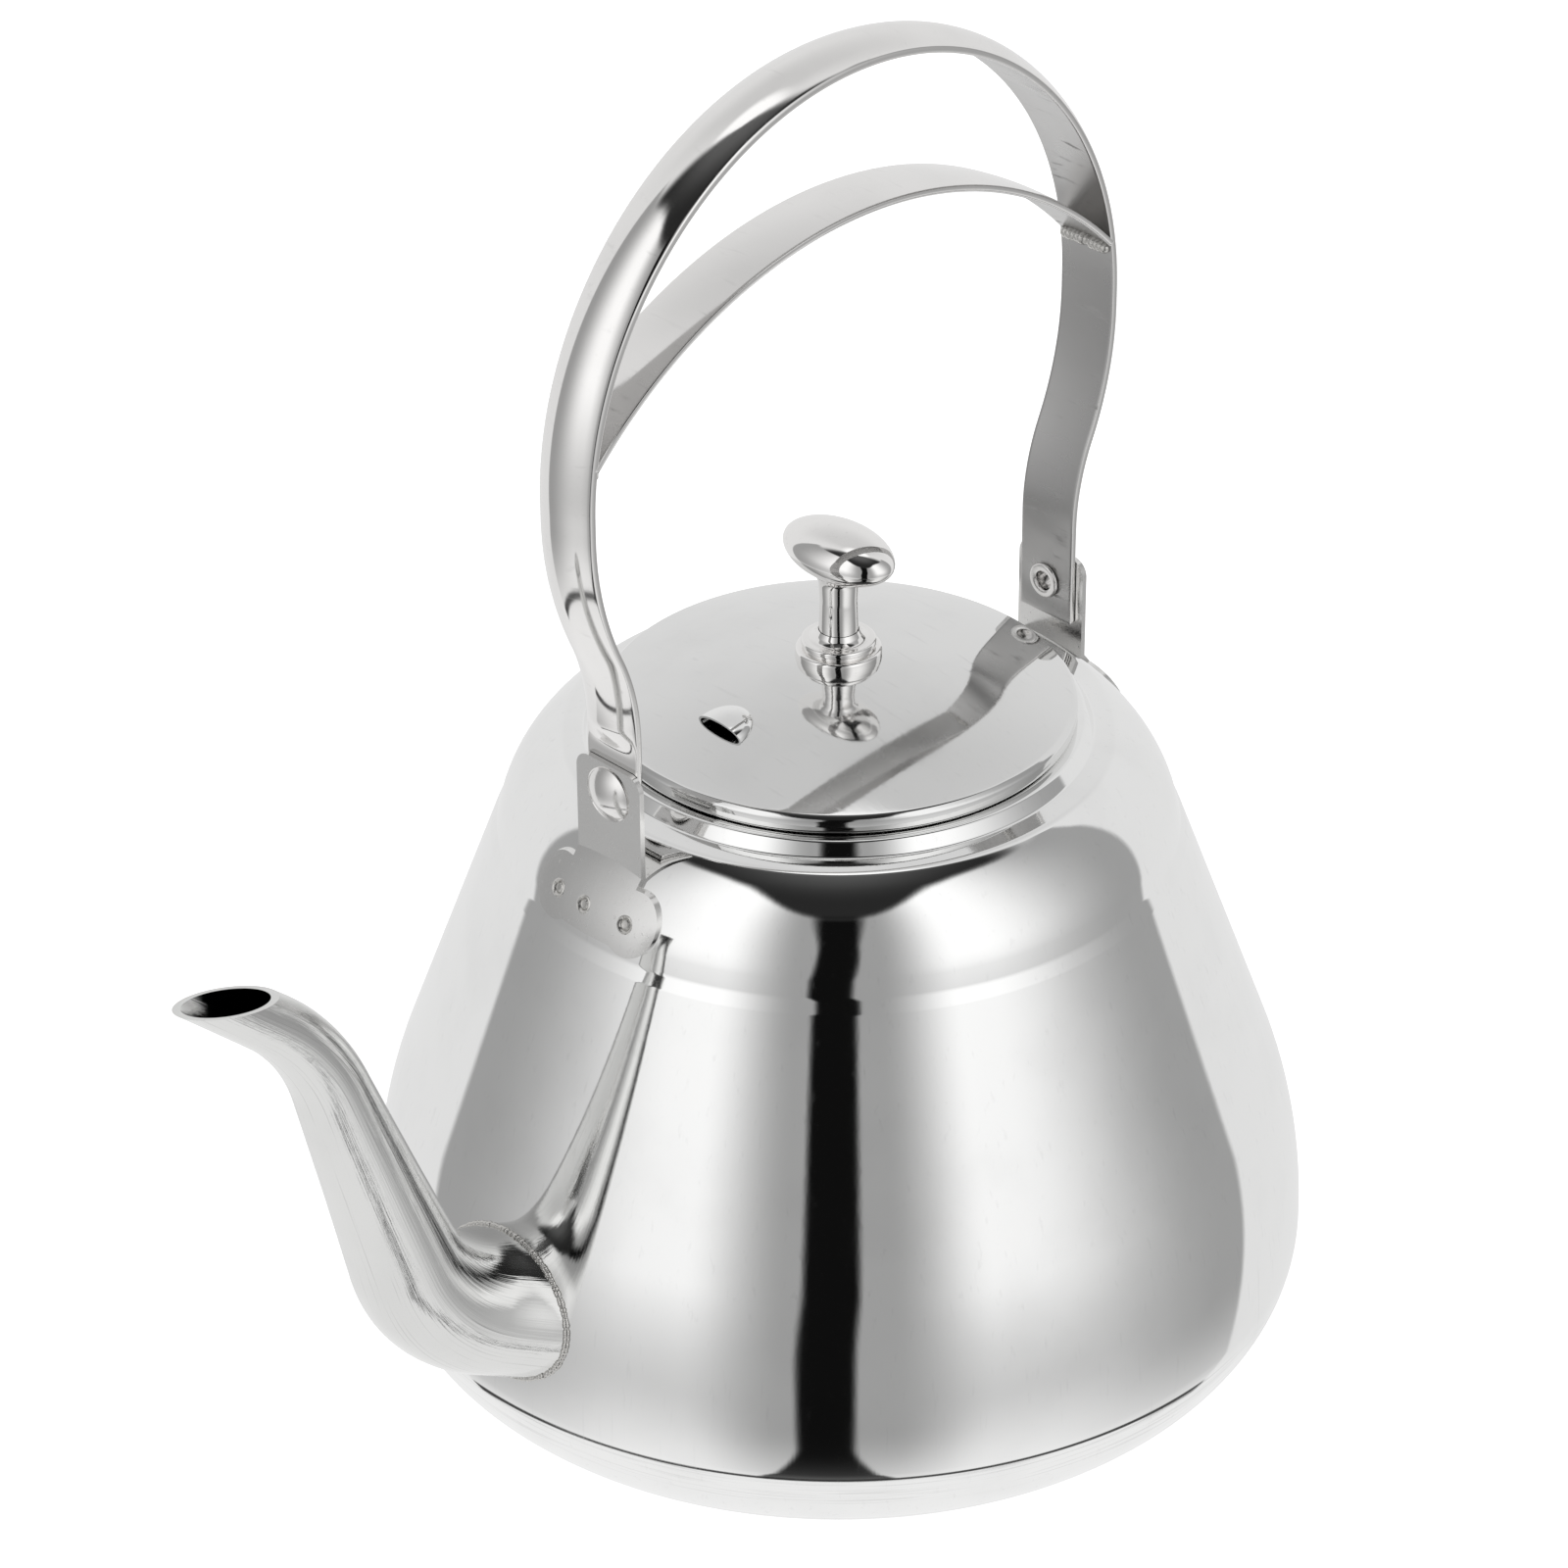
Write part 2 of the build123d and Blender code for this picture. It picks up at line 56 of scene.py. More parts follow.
# %% A socket that can be used in sums
class Signal:
    """A socket of a node tree. Sums on it add Math nodes, and node() adds any other node."""

    def __init__(self, tree, socket=None):
        self.tree, self.socket = tree, socket

    def node(self, kind, settings=None, sockets=None, output=0):
        """Adds a node: its settings first, then its sockets' values or links. Gives one of its outputs."""
        made = self.tree.nodes.new(kind)
        for name, value in (settings or {}).items():
            setattr(made, name, value)
        for name, value in (sockets or {}).items():
            if isinstance(value, Signal):
                self.tree.links.new(value.socket, made.inputs[name])
            else:
                made.inputs[name].default_value = value
        return Signal(self.tree, made.outputs[output] if made.outputs else None)

    def other(self, output):
        """Another output of the node that this socket is on."""
        return Signal(self.tree, self.socket.node.outputs[output])

    def sum(self, operation, *values):
        return self.node("ShaderNodeMath", {"operation": operation}, dict(enumerate(values)))

    def __add__(self, value):
        return self.sum("ADD", self, value)

    def __sub__(self, value):
        return self.sum("SUBTRACT", self, value)

    def __rsub__(self, value):
        return self.sum("SUBTRACT", value, self)

    def __mul__(self, value):
        return self.sum("MULTIPLY", self, value)

    def __abs__(self):
        return self.sum("ABSOLUTE", self)

    __radd__, __rmul__ = __add__, __mul__


def stepped(value, low, high, start=0.0, end=1.0):
    """Start below low, end above high, and a smooth change between."""
    limits = {"Value": value, "From Min": low, "From Max": high, "To Min": start, "To Max": end}
    return value.node("ShaderNodeMapRange", {"interpolation_type": "SMOOTHSTEP"}, limits)


print("sums on sockets are ready")

# %% [markdown]
# ## The studio
# A photographer shoots polished steel inside a white tent, because it shows whatever is round it. Here the
# world is that tent: white, with two tall panels on the camera's side that are greyer towards their edges, a
# black gap between them and a dark roof over them. It could be built of cards with lamps behind them, but a
# world made from the direction alone has no noise and no edge that gets in the way of another view. The tent
# is seen only in reflections: the backdrop and the floor are plain white, and the floor hides itself from
# reflections so that the tent goes on below it.

# %% Directions in the tent
VIEW_AZIMUTH, VIEW_ELEVATION = math.radians(135.57), math.radians(31.11)
towards_camera = Vector((math.sin(VIEW_AZIMUTH), -math.cos(VIEW_AZIMUTH), 0))
to_the_right = Vector((math.cos(VIEW_AZIMUTH), math.sin(VIEW_AZIMUTH), 0))

scene = bpy.context.scene
scene.view_settings.view_transform = "Standard"
world = bpy.data.worlds.new("light_tent")
scene.world = world
world.use_nodes = True
world.node_tree.nodes.clear()
air = Signal(world.node_tree)
direction = air.node("ShaderNodeTexCoord", output="Generated")


def along(axis):
    """How far the direction goes along an axis."""
    sockets = {0: direction, 1: axis}
    return air.node("ShaderNodeVectorMath", {"operation": "DOT_PRODUCT"}, sockets, "Value")


TO_DEGREES = 180 / math.pi
forward, sideways, upward = along(towards_camera), along(to_the_right), along((0, 0, 1))
turn = sideways.sum("ARCTAN2", sideways, forward) * TO_DEGREES
height = upward.sum("ARCSINE", upward) * TO_DEGREES
aside = abs(turn)
print("turn is measured from the camera's side, and height from the horizon")

# %% [markdown]
# The shades below are as they look on a screen, from 0 to 1, and angles are in degrees. The panels are
# brightest in the middle of each, and fall off downwards and sideways. Their tops slope down towards the gap,
# and the gap leans a little and widens at its foot. A thin dark hem closes the panels below, which draws the
# fine line round the kettle above its base.

# %% Panels, gap and hem
PANEL_HEAD, PANEL_SIDE, PANEL_FOOT = 61, 113, (-46, -43)
OUTER_SLOPE, INNER_SLOPE = 10, 13
GAP_HALF, GAP_LEAN, GAP_FLARE = 5.2, 3, 11
peak = stepped(height, -24, 14, 0.77, 1.0) + stepped(height, -42, -20, 0.14, 0)
bright = stepped(aside, 12, 38) * stepped(aside, 46, 106, 1, 0)
panel_shade = stepped(height, -46, -26, 0.86, 0.6)
panel_shade = panel_shade + (peak - panel_shade) * bright

gap_middle = turn + stepped(height, -12, 24, GAP_LEAN, 0)
flare = stepped(height, -45, -31, GAP_FLARE, 0)
gap = stepped(abs(gap_middle) - flare, GAP_HALF, stepped(height, 24, 50, 8.0, 13), 1, 0)
panel_shade = panel_shade * (1 - gap * stepped(height, -44, -32, 0.6, 0.86))

panel_top = PANEL_HEAD - stepped(aside, 60, 112) * OUTER_SLOPE - stepped(aside, 6, 50, INNER_SLOPE, 0)
panel_edge = PANEL_SIDE - stepped(height, -30, 40) * 2
between_edges = stepped(aside - panel_edge, -1, 1.5, 1, 0)
panel = stepped(height - panel_top, -5, 1, 1, 0) * between_edges * stepped(height, *PANEL_FOOT)
hem = stepped(height, -46.6, -45.6) * stepped(height, -44.2, -43, 1, 0) * between_edges
print("the panels reach", PANEL_SIDE, "degrees to each side")

# %% Tent walls and roof
FLOOR_WHITE, WALL_WHITE, ZENITH_WHITE, BEHIND_HIGH = 0.91, 0.86, 1.02, 0.07
ROOF_SHADE = (0.17, 0.36)
HEM_DARKNESS, SCREEN_GAMMA, TENT_GAIN, BACKDROP = 0.7, 2.2, 1.13, 1.1
outside = stepped(height, -52, -34, FLOOR_WHITE, WALL_WHITE)
outside = outside - stepped(height, 20, 60) * stepped(aside, 110, 150) * BEHIND_HIGH
outside = outside + (ZENITH_WHITE - outside) * stepped(height, 70, 78)
dark_roof = stepped(height - panel_top, -7, -1) * stepped(forward, -0.26, -0.02) * stepped(aside, 84, 114, 1, 0)
outside = outside + (stepped(height, 56, 84, *ROOF_SHADE) - outside) * dark_roof
tent = outside + (panel_shade - outside) * panel
tent = tent * (1 - hem * HEM_DARKNESS)
tent = tent.sum("POWER", tent, SCREEN_GAMMA) * TENT_GAIN

camera_ray = air.node("ShaderNodeLightPath", output="Is Camera Ray")
strength = tent + camera_ray * (BACKDROP - tent)
background = air.node("ShaderNodeBackground", sockets={"Color": (1, 1, 1, 1), "Strength": strength})
air.node("ShaderNodeOutputWorld", sockets={"Surface": background})
print("tent nodes:", len(world.node_tree.nodes))

# %% [markdown]
# ## The camera
# It stands a metre away with a long lens, as for a catalogue picture, so that the far leg of the handle is
# nearly as large as the near one. It is turned by a quaternion from its direction, which needs no target
# object.

# %% The camera
def linked(name, data):
    """Adds an object to the scene."""
    made = bpy.data.objects.new(name, data)
    scene.collection.objects.link(made)
    return made


LOOK_AT, LENS_MM, SENSOR_MM, SHIFT = Vector((0, 0, 0.108)), 129.54, 36, -0.0349
back = Vector((
    math.sin(VIEW_AZIMUTH) * math.cos(VIEW_ELEVATION),
    -math.cos(VIEW_AZIMUTH) * math.cos(VIEW_ELEVATION),
    math.sin(VIEW_ELEVATION),
))
lens = bpy.data.cameras.new("camera")
lens.sensor_width, lens.lens, lens.shift_x = SENSOR_MM, LENS_MM, SHIFT
camera = linked("camera", lens)
camera.rotation_mode = "QUATERNION"
camera.location = LOOK_AT + back
camera.rotation_quaternion = (-back).to_track_quat("-Z", "Y")
scene.camera = camera
print("camera stands at", [round(v, 3) for v in camera.location])

# %% [markdown]
# ## Finishes
# All the steel is one metal in several states: mirror polished outside, satin where the polishing wheel did
# not reach, dull and lumpy where it was welded. Each is a Principled metal whose roughness and bump come from
# noise on Object coordinates, so a pattern is the same size on every piece. Only the spout's scratches follow
# its own bent line, which an attribute of its mesh gives. The spout's darker tone and strong dark streaks are
# partly brushed steel and partly painted reflection of the tent's darker parts.


# %% Steel finishes
FINE_SCALE, BROAD_SCALE, RING_SCALE, LUMP_SCALE = 900.0, 60.0, 1400.0, 700.0
RING_FADE = 3.0


def steel(
    name,
    tone,
    polish,
    scratch_depth,
    cloud=0.02,
    grain=(1, 1, 1),
    lumps=0.0,
    along=None,
    rings=None,
    scratches_and_painted_reflection=0.05,
):
    """Polished metal: tone is its colour, polish its roughness, grain the stretch of its fine scratches, cloud
    the unevenness of its polish and the last argument how much scratches darken it; set high, as on the spout,
    that darkening is painted reflection as well as scratches. Scratches can follow an attribute of the piece,
    and rings are two heights in mm with marks turned into the metal between them."""
    material = bpy.data.materials.new(name)
    material.use_nodes = True
    tree = material.node_tree
    tree.nodes.clear()
    start = Signal(tree)
    place = start.node("ShaderNodeTexCoord", output="Object")
    stretched = start.node("ShaderNodeMapping", sockets={"Vector": place, "Scale": grain})
    fine = start.node("ShaderNodeTexNoise", sockets={"Vector": stretched, "Scale": FINE_SCALE, "Detail": 4.0})
    broad = start.node("ShaderNodeTexNoise", sockets={"Vector": place, "Scale": BROAD_SCALE, "Detail": 3.0})
    if along:
        followed = start.node("ShaderNodeAttribute", {"attribute_name": along}, output="Vector")
        drawn = start.node("ShaderNodeMapping", sockets={"Vector": followed, "Scale": (9, 9, 1.3)})
        fine = start.node("ShaderNodeTexNoise", sockets={"Vector": drawn, "Scale": 3.0, "Detail": 5.0})
    marks = stepped(fine, 0.6, 0.78)
    if rings:
        low, high = rings
        flat = start.node("ShaderNodeMapping", sockets={"Vector": place, "Scale": (0.03, 0.03, 2)})
        cuts = start.node("ShaderNodeTexNoise", sockets={"Vector": flat, "Scale": RING_SCALE, "Detail": 3.0})
        level = start.node("ShaderNodeSeparateXYZ", sockets={0: place}, output="Z")
        above = stepped(level, low * MM, (low + RING_FADE) * MM)
        below = stepped(level, (high - RING_FADE) * MM, high * MM, 1, 0)
        marks = marks + stepped(cuts, 0.5, 0.66) * (above * below) * 2
    roughness = polish + stepped(broad, 0.35, 0.7) * cloud + marks * (polish * 1.5)
    # The scratches darken the colour here; where this is set strong, as on the spout, the dark streaks are
    # painted reflection as well as scratches.
    shade = 1 - stepped(broad, 0.4, 0.75) * 0.04 - marks * scratches_and_painted_reflection
    colour = start.node(
        "ShaderNodeMix",
        {"data_type": "RGBA", "blend_type": "MULTIPLY"},
        {"Factor": 1.0, 6: (*tone, 1), 7: shade},
        2,
    )
    relief = fine
    if lumps:
        relief = fine + start.node("ShaderNodeTexNoise", sockets={"Vector": place, "Scale": LUMP_SCALE}) * lumps
    bump = start.node(
        "ShaderNodeBump",
        sockets={"Strength": 1.0, "Distance": scratch_depth * MM, "Height": relief},
    )
    surface = start.node(
        "ShaderNodeBsdfPrincipled",
        sockets={"Base Color": colour, "Roughness": roughness, "Metallic": 1.0, "Normal": bump},
    )
    start.node("ShaderNodeOutputMaterial", sockets={"Surface": surface})
    return material


mirror_steel = steel("mirror_finish", (0.90, 0.90, 0.895), 0.03, 0.002)
body_steel = steel("body_finish", (0.90, 0.90, 0.895), 0.03, 0.002, grain=(1, 1, 0.05), rings=(11, 20))
lid_steel = steel("lid_finish", (0.80, 0.80, 0.795), 0.045, 0.006, cloud=0.03, grain=(1, 0.1, 1))
# The spout's darker tone and strong dark streaks are partly brushed steel and partly painted reflection of the
# tent's darker parts.
spout_steel_with_painted_reflection = steel("spout_painted_reflection_finish", (0.76, 0.76, 0.75), 0.05, 0.05, along="tube", scratches_and_painted_reflection=0.3)
strap_steel = steel("strap_finish", (0.86, 0.85, 0.84), 0.07, 0.002, grain=(1, 0.12, 1))
lug_steel = steel("lug_finish", (0.82, 0.815, 0.805), 0.17, 0.006)
satin_steel = steel("satin_finish", (0.54, 0.535, 0.53), 0.27, 0.006, grain=(1, 0.15, 1))
knob_steel = steel("knob_finish", (0.90, 0.89, 0.88), 0.03, 0.001)
rivet_steel = steel("rivet_finish", (0.82, 0.81, 0.80), 0.12, 0.006)
weld_steel = steel("weld_finish", (0.62, 0.61, 0.59), 0.25, 0.05, lumps=2.0)
inner_steel = steel("inner_finish", (0.62, 0.62, 0.61), 0.2, 0.005)
print("finishes:", [m.name for m in bpy.data.materials if m.name.endswith("_finish")])

# %% [markdown]
# ## From an outline to a turned piece
# The body, lid, knob and rivets are turned or spun, so each is an outline swept about an axis. A screw
# modifier could do it, but an outline worked out in numbers lets the wall thickness, rounded corners and
# spout follow from the same curve. Corners are rounded, because a sharp corner catches no light.


# %% Outlines
def arc_points(centre, radius, start, end, count):
    """Points of an arc between two angles in degrees."""
    angles = np.radians(np.linspace(start, end, count))
    return [(centre[0] + radius * math.cos(a), centre[1] + radius * math.sin(a)) for a in angles]


def rounded(corners, radii, steps=7):
    """The corners joined by straight lines, with each inner corner rounded to its radius."""
    points = [np.array(p, float) for p in corners]
    made = [points[0]]
    for before, corner, after, radius in zip(points, points[1:], points[2:], radii):
        incoming, outgoing = corner - before, after - corner
        lengths = np.linalg.norm(incoming), np.linalg.norm(outgoing)
        incoming, outgoing = incoming / lengths[0], outgoing / lengths[1]
        turn_angle = math.acos(max(-1.0, min(1.0, float(incoming @ outgoing))))
        reach = min(radius * math.tan(turn_angle / 2), 0.48 * min(lengths))
        radius = reach / math.tan(turn_angle / 2)
        inwards = outgoing - incoming
        inwards /= np.linalg.norm(inwards)
        centre = corner + inwards * radius / math.cos(turn_angle / 2)
        side = math.copysign(1.0, incoming[0] * outgoing[1] - incoming[1] * outgoing[0])
        spoke = corner - incoming * reach - centre
        for a in np.linspace(0, turn_angle, steps):
            c, s = math.cos(side * a), math.sin(side * a)
            made.append(centre + np.array((c * spoke[0] - s * spoke[1], s * spoke[0] + c * spoke[1])))
    made.append(points[-1])
    return np.array(made)


def spaced(points, step):
    """The same line with points added, so that none are further apart than step."""
    made = [points[0]]
    for a, b in zip(points, points[1:]):
        count = max(1, math.ceil(np.linalg.norm(np.subtract(b, a)) / step))
        made += [np.array(a) + (np.array(b) - a) * k / count for k in range(1, count + 1)]
    return np.array(made)


def left_of(points, distance):
    """The line moved to its left, less the points that would come too near it at tight corners."""
    tangent = np.gradient(points, axis=0)
    tangent /= np.linalg.norm(tangent, axis=1)[:, None]
    moved = points + distance * np.stack((-tangent[:, 1], tangent[:, 0]), axis=1)
    nearest = np.linalg.norm(moved[:, None] - points[None], axis=2).min(axis=1)
    return moved[nearest > 0.93 * distance]

# %% [markdown]
# ## From points to a piece
# A ring of points turned or swept gives a net of four-sided faces, which shade better than a boolean's long
# triangles. Doubles are merged at the poles, and normals are turned outwards before anything else is done.


# %% Meshes
def put(name, mesh, *materials, sharp=30.0):
    """Adds a mesh as a piece, smooth but for edges sharper than that angle."""
    piece = linked(name, mesh)
    mesh.materials.clear()
    for material in materials:
        mesh.materials.append(material)
    mesh.shade_smooth()
    mesh.set_sharp_from_angle(angle=math.radians(sharp))
    print(f"{name}: {len(mesh.polygons)} faces")
    return piece


def mesh_of(name, vertices, faces):
    """A mesh from points in mm, with doubles merged and faces turned outwards."""
    mesh = bpy.data.meshes.new(name)
    mesh.from_pydata([Vector(v) * MM for v in vertices], [], faces)
    shape = bmesh.new()
    shape.from_mesh(mesh)
    bmesh.ops.remove_doubles(shape, verts=shape.verts, dist=1e-6)
    bmesh.ops.recalc_face_normals(shape, faces=shape.faces)
    shape.to_mesh(mesh)
    shape.free()
    return mesh


def net(rows, columns, wrap_rows, wrap_columns):
    """Faces between rows and columns of points, joined end to end where they wrap round."""
    last_row = rows if wrap_rows else rows - 1
    last_column = columns if wrap_columns else columns - 1
    return [
        (
            i * columns + j,
            i * columns + (j + 1) % columns,
            (i + 1) % rows * columns + (j + 1) % columns,
            (i + 1) % rows * columns + j,
        )
        for i in range(last_row)
        for j in range(last_column)
    ]


def turned(name, outline, segments=240):
    """A closed outline of (radius, height) in mm, turned about Z."""
    angles = np.linspace(0, 2 * math.pi, segments, endpoint=False)
    vertices = [(r * math.cos(a), r * math.sin(a), z) for a in angles for r, z in outline]
    return mesh_of(name, vertices, net(segments, len(outline), True, True))


print("helpers are ready")

# %% [markdown]
# ## The body
# On the real kettle a drawn cone with a rolled-in shoulder is joined to a pressed base pan, and the mouth has
# a raised rim with a down-turned collar. One outline holds all of it. The step where the shoulder starts is
# only 0.7 mm deep, but its two soft bends make the bright line round the body.

# %% Body outline
WALL = 0.8
BODY_RADIUS, ROLL_RADIUS, BELLY_RADIUS, CONE_LEAN = 85.0, 20.0, 96.0, 20.3
STEP, STEP_TOP, SHOULDER_END, SHOULDER_BULGE = (61.616, 100.4), (60.916, 101.0), (49.0, 120.0), 2.3
RIM_TOP, MOUTH_RADIUS, COLLAR_DEPTH = 122.9, 40.2, 8.0
SEAM_HEIGHT = 6.5
roll_centre = (BODY_RADIUS - ROLL_RADIUS, ROLL_RADIUS)
seam_angle = math.degrees(math.asin((ROLL_RADIUS - SEAM_HEIGHT) / ROLL_RADIUS))


def bulged(start, end, bulge, count):
    """Points of an arc from start to end that stands out by bulge to its right."""
    start, end = np.array(start), np.array(end)
    chord = np.linalg.norm(end - start)
    radius = (chord**2 / 4 + bulge**2) / (2 * bulge)
    ahead = (end - start) / chord
    outward = np.array((ahead[1], -ahead[0]))
    centre = (start + end) / 2 + outward * (bulge - radius)
    half = math.asin(chord / 2 / radius)
    spread = np.linspace(-half, half, count)
    return [centre + radius * (outward * math.cos(a) + ahead * math.sin(a)) for a in spread]


roll = arc_points(roll_centre, ROLL_RADIUS, -seam_angle, 0, 40)
belly = arc_points((BODY_RADIUS - BELLY_RADIUS, ROLL_RADIUS), BELLY_RADIUS, 0, CONE_LEAN, 30)
shoulder = bulged(STEP_TOP, SHOULDER_END, SHOULDER_BULGE, 22)
rim_corners = [(45.0, 120.4), (43.4, RIM_TOP), (MOUTH_RADIUS, RIM_TOP)]
rim_corners += [(MOUTH_RADIUS, RIM_TOP - COLLAR_DEPTH)]
up_the_cone = (np.array(STEP) - belly[-1]) / np.linalg.norm(np.array(STEP) - belly[-1])
CREASE_START, CREASE_ROUND = 0.7, 4.0
crease_foot = np.array(STEP) - up_the_cone * CREASE_START
crease = rounded([belly[-1], crease_foot, shoulder[1], shoulder[4]], [CREASE_ROUND, CREASE_ROUND], 14)
rim = rounded([shoulder[-3], SHOULDER_END, *rim_corners], [2.5, 0.7, 0.8, 1.0])
side = np.concatenate([roll, belly[1:-1], spaced(crease[:2], 2.0), crease[2:-1], shoulder[4:-3], rim[:-1]])
side = np.concatenate([side, spaced(rim[-2:], 1.0)[1:]])
side = side[np.r_[True, np.linalg.norm(np.diff(side, axis=0), axis=1) > 1e-4]]
print("body outline:", len(side), "points")

# %% [markdown]
# The wall's thickness is the same outline moved inwards. A modifier could add it, but here the inside has to
# stop at the seam between shell and pan, where both get a small bevel, so that the seam shows as a fine line.

# %% Body shell and base pan
SEAM_BEVEL = 0.35
inner_side = left_of(side, WALL)
shell_outline = np.concatenate([side, inner_side[::-1]])
shell_outline[0] += (shell_outline[-1] - shell_outline[0]) * SEAM_BEVEL
shell_mesh = turned("body_skin", shell_outline, 300)

GROOVE, GROOVE_DEPTH = (46.0, 51.0), 0.4
floor_line = [(0, 0), (GROOVE[0] - 0.6, 0), (GROOVE[0], GROOVE_DEPTH), (GROOVE[1], GROOVE_DEPTH)]
floor_line += [(GROOVE[1] + 0.6, 0), (roll_centre[0], 0)]
pan_roll = arc_points(roll_centre, ROLL_RADIUS, -90, -seam_angle, 24)
pan_under = np.concatenate([spaced(floor_line, 6.0), pan_roll[1:]])
pan_top = left_of(pan_under, WALL)
pan_top[0] = (0, WALL)
pan_outline = np.concatenate([pan_under, pan_top[::-1]])
last = len(pan_under) - 1
pan_outline[last] += (pan_outline[last + 1] - pan_outline[last]) * SEAM_BEVEL
base_pan = put("base_skin", turned("base_skin", pan_outline, 300), body_steel)

# %% [markdown]
# ## The spout
# Two pressed halves are welded into a tube that bends like an S, and the tube is welded over a hole in the
# body. It could be a swept curve cut with booleans, but their cut edges shade badly on a mirror. Instead each
# line along the tube is followed from where it leaves the body to where it meets the slanting mouth, so the
# mesh ends exactly on both.

# %% Spout centre line
SPOUT_CORNERS = [(70.0, 31.7), (99.95, 45.65), (121.5, 110.1), (147.2, 133.2)]
SPOUT_BENDS = [30.0, 45.0]
SPOUT_SIZES = [
    (0.0, 18.5, 13.3),
    (13.0, 16.3, 13.0),
    (22.0, 13.4, 12.6),
    (32.0, 11.6, 11.4),
    (44.4, 9.9, 9.9),
    (63.0, 8.4, 8.4),
    (83.0, 7.0, 7.0),
    (99.0, 5.9, 5.9),
    (111.0, 5.2, 5.2),
    (133.0, 5.0, 5.0),
]
MOUTH_BACK, MOUTH_TIP = np.array((128.0, 122.9)), np.array((148.5, 127.5))

centre_line = spaced(rounded(SPOUT_CORNERS, SPOUT_BENDS, 40), 0.5)
travelled = np.r_[0, np.cumsum(np.linalg.norm(np.diff(centre_line, axis=0), axis=1))]
stations = np.linspace(0, travelled[-1], 800)
line_x, line_z = (np.interp(stations, travelled, centre_line[:, k]) for k in (0, 1))
ahead_x, ahead_z = np.gradient(line_x), np.gradient(line_z)
SOFTENED_OVER = 20
soft = np.ones(2 * SOFTENED_OVER + 1) / (2 * SOFTENED_OVER + 1)
ahead_x, ahead_z = (
    np.convolve(np.pad(a, SOFTENED_OVER, "edge"), soft, "valid") for a in (ahead_x, ahead_z)
)
ahead_size = np.hypot(ahead_x, ahead_z)
across_x, across_z = -ahead_z / ahead_size, ahead_x / ahead_size
sizes = np.array(SPOUT_SIZES)
half_width, half_height = (
    np.convolve(np.pad(np.interp(stations, sizes[:, 0], sizes[:, k]), SOFTENED_OVER, "edge"), soft, "valid")
    for k in (1, 2)
)
print("spout line:", round(travelled[-1], 1), "mm")

# %% [markdown]
# Each row of points runs along the tube at one angle round it. It starts at the first place that is outside
# the body, and stops at the first place that is past the plane of the slanting mouth.


# %% Spout surface
def spout_points(angle, shrink, at):
    """Points of one line along the tube, at distances along its centre line."""
    width, high = (np.interp(at, stations, s) - shrink for s in (half_width, half_height))
    x = np.interp(at, stations, line_x) + high * math.sin(angle) * np.interp(at, stations, across_x)
    z = np.interp(at, stations, line_z) + high * math.sin(angle) * np.interp(at, stations, across_z)
    return np.stack([x, width * math.cos(angle), z], axis=1)


def crossing(values, start):
    """Where values first turn positive after start, as a distance along the centre line."""
    for k in range(start, len(values) - 1):
        if values[k] <= 0 < values[k + 1]:
            share = values[k] / (values[k] - values[k + 1])
            return stations[k] + (stations[k + 1] - stations[k]) * share
    return stations[-1]


mouth_normal = np.array((MOUTH_BACK[1] - MOUTH_TIP[1], MOUTH_TIP[0] - MOUTH_BACK[0]))
mouth_normal /= np.linalg.norm(mouth_normal)
outside_top = np.argmax(side[:, 1])


def spout_tube(shrink, around=144, lengthways=220):
    """Rows of points from the body's surface to the mouth, one row for each angle round the tube."""
    rows = []
    for angle in np.linspace(0, 2 * math.pi, around, endpoint=False):
        points = spout_points(angle, shrink, stations)
        reach = np.hypot(points[:, 0], points[:, 1])
        body_here = np.interp(points[:, 2], side[:outside_top, 1], side[:outside_top, 0])
        root = crossing(reach - body_here, 0)
        over_mouth = (points[:, [0, 2]] - MOUTH_BACK) @ mouth_normal
        mouth = crossing(over_mouth, len(stations) * 2 // 3)
        rows.append(spout_points(angle, shrink, np.linspace(root, mouth, lengthways)))
    return np.array(rows)


outer_tube, inner_tube = spout_tube(0), spout_tube(WALL)
closed_rows = np.concatenate([outer_tube, inner_tube[:, ::-1]], axis=1)
spout_faces = net(closed_rows.shape[0], closed_rows.shape[1], True, True)
spout_mesh = mesh_of("spout", closed_rows.reshape(-1, 3), spout_faces)
angles = np.linspace(0, 2 * math.pi, closed_rows.shape[0], endpoint=False)
shares = np.r_[np.linspace(0, 1, outer_tube.shape[1]), np.linspace(1, 0, inner_tube.shape[1])]
tube = spout_mesh.attributes.new("tube", "FLOAT_VECTOR", "POINT")
tube.data.foreach_set("vector", [v for a in angles for k in shares for v in (math.cos(a), math.sin(a), k)])
spout = put("spout", spout_mesh, spout_steel_with_painted_reflection)
root_ring = outer_tube[:, 0]

# %% [markdown]
# The hole through the wall is hidden behind the spout, but water has to go through it, so it is really cut. A
# boolean is right for this one, since the spout covers the edge that it leaves.


# %% Hole through the wall
def plain_mesh(piece):
    """A piece's mesh with its modifiers applied."""
    depsgraph = bpy.context.evaluated_depsgraph_get()
    return bpy.data.meshes.new_from_object(piece.evaluated_get(depsgraph), depsgraph=depsgraph)


def cut(piece, *cutters):
    """Cuts the cutters out of a piece and removes them."""
    for cutter in cutters:
        modifier = piece.modifiers.new("cut", "BOOLEAN")
        modifier.operation, modifier.solver, modifier.object = "DIFFERENCE", "EXACT", cutter
    mesh = plain_mesh(piece)
    piece.modifiers.clear()
    piece.data = mesh
    for cutter in cutters:
        bpy.data.objects.remove(cutter)
    mesh.set_sharp_from_angle(angle=math.radians(30))
    return piece


def prism(name, rows):
    """A cutter from pairs of points, one at each end of every line along it."""
    count = len(rows)
    ends = [tuple(range(0, count, 2)), tuple(range(1, count, 2))]
    return put(name, mesh_of(name, rows, net(count // 2, 2, True, False) + ends))


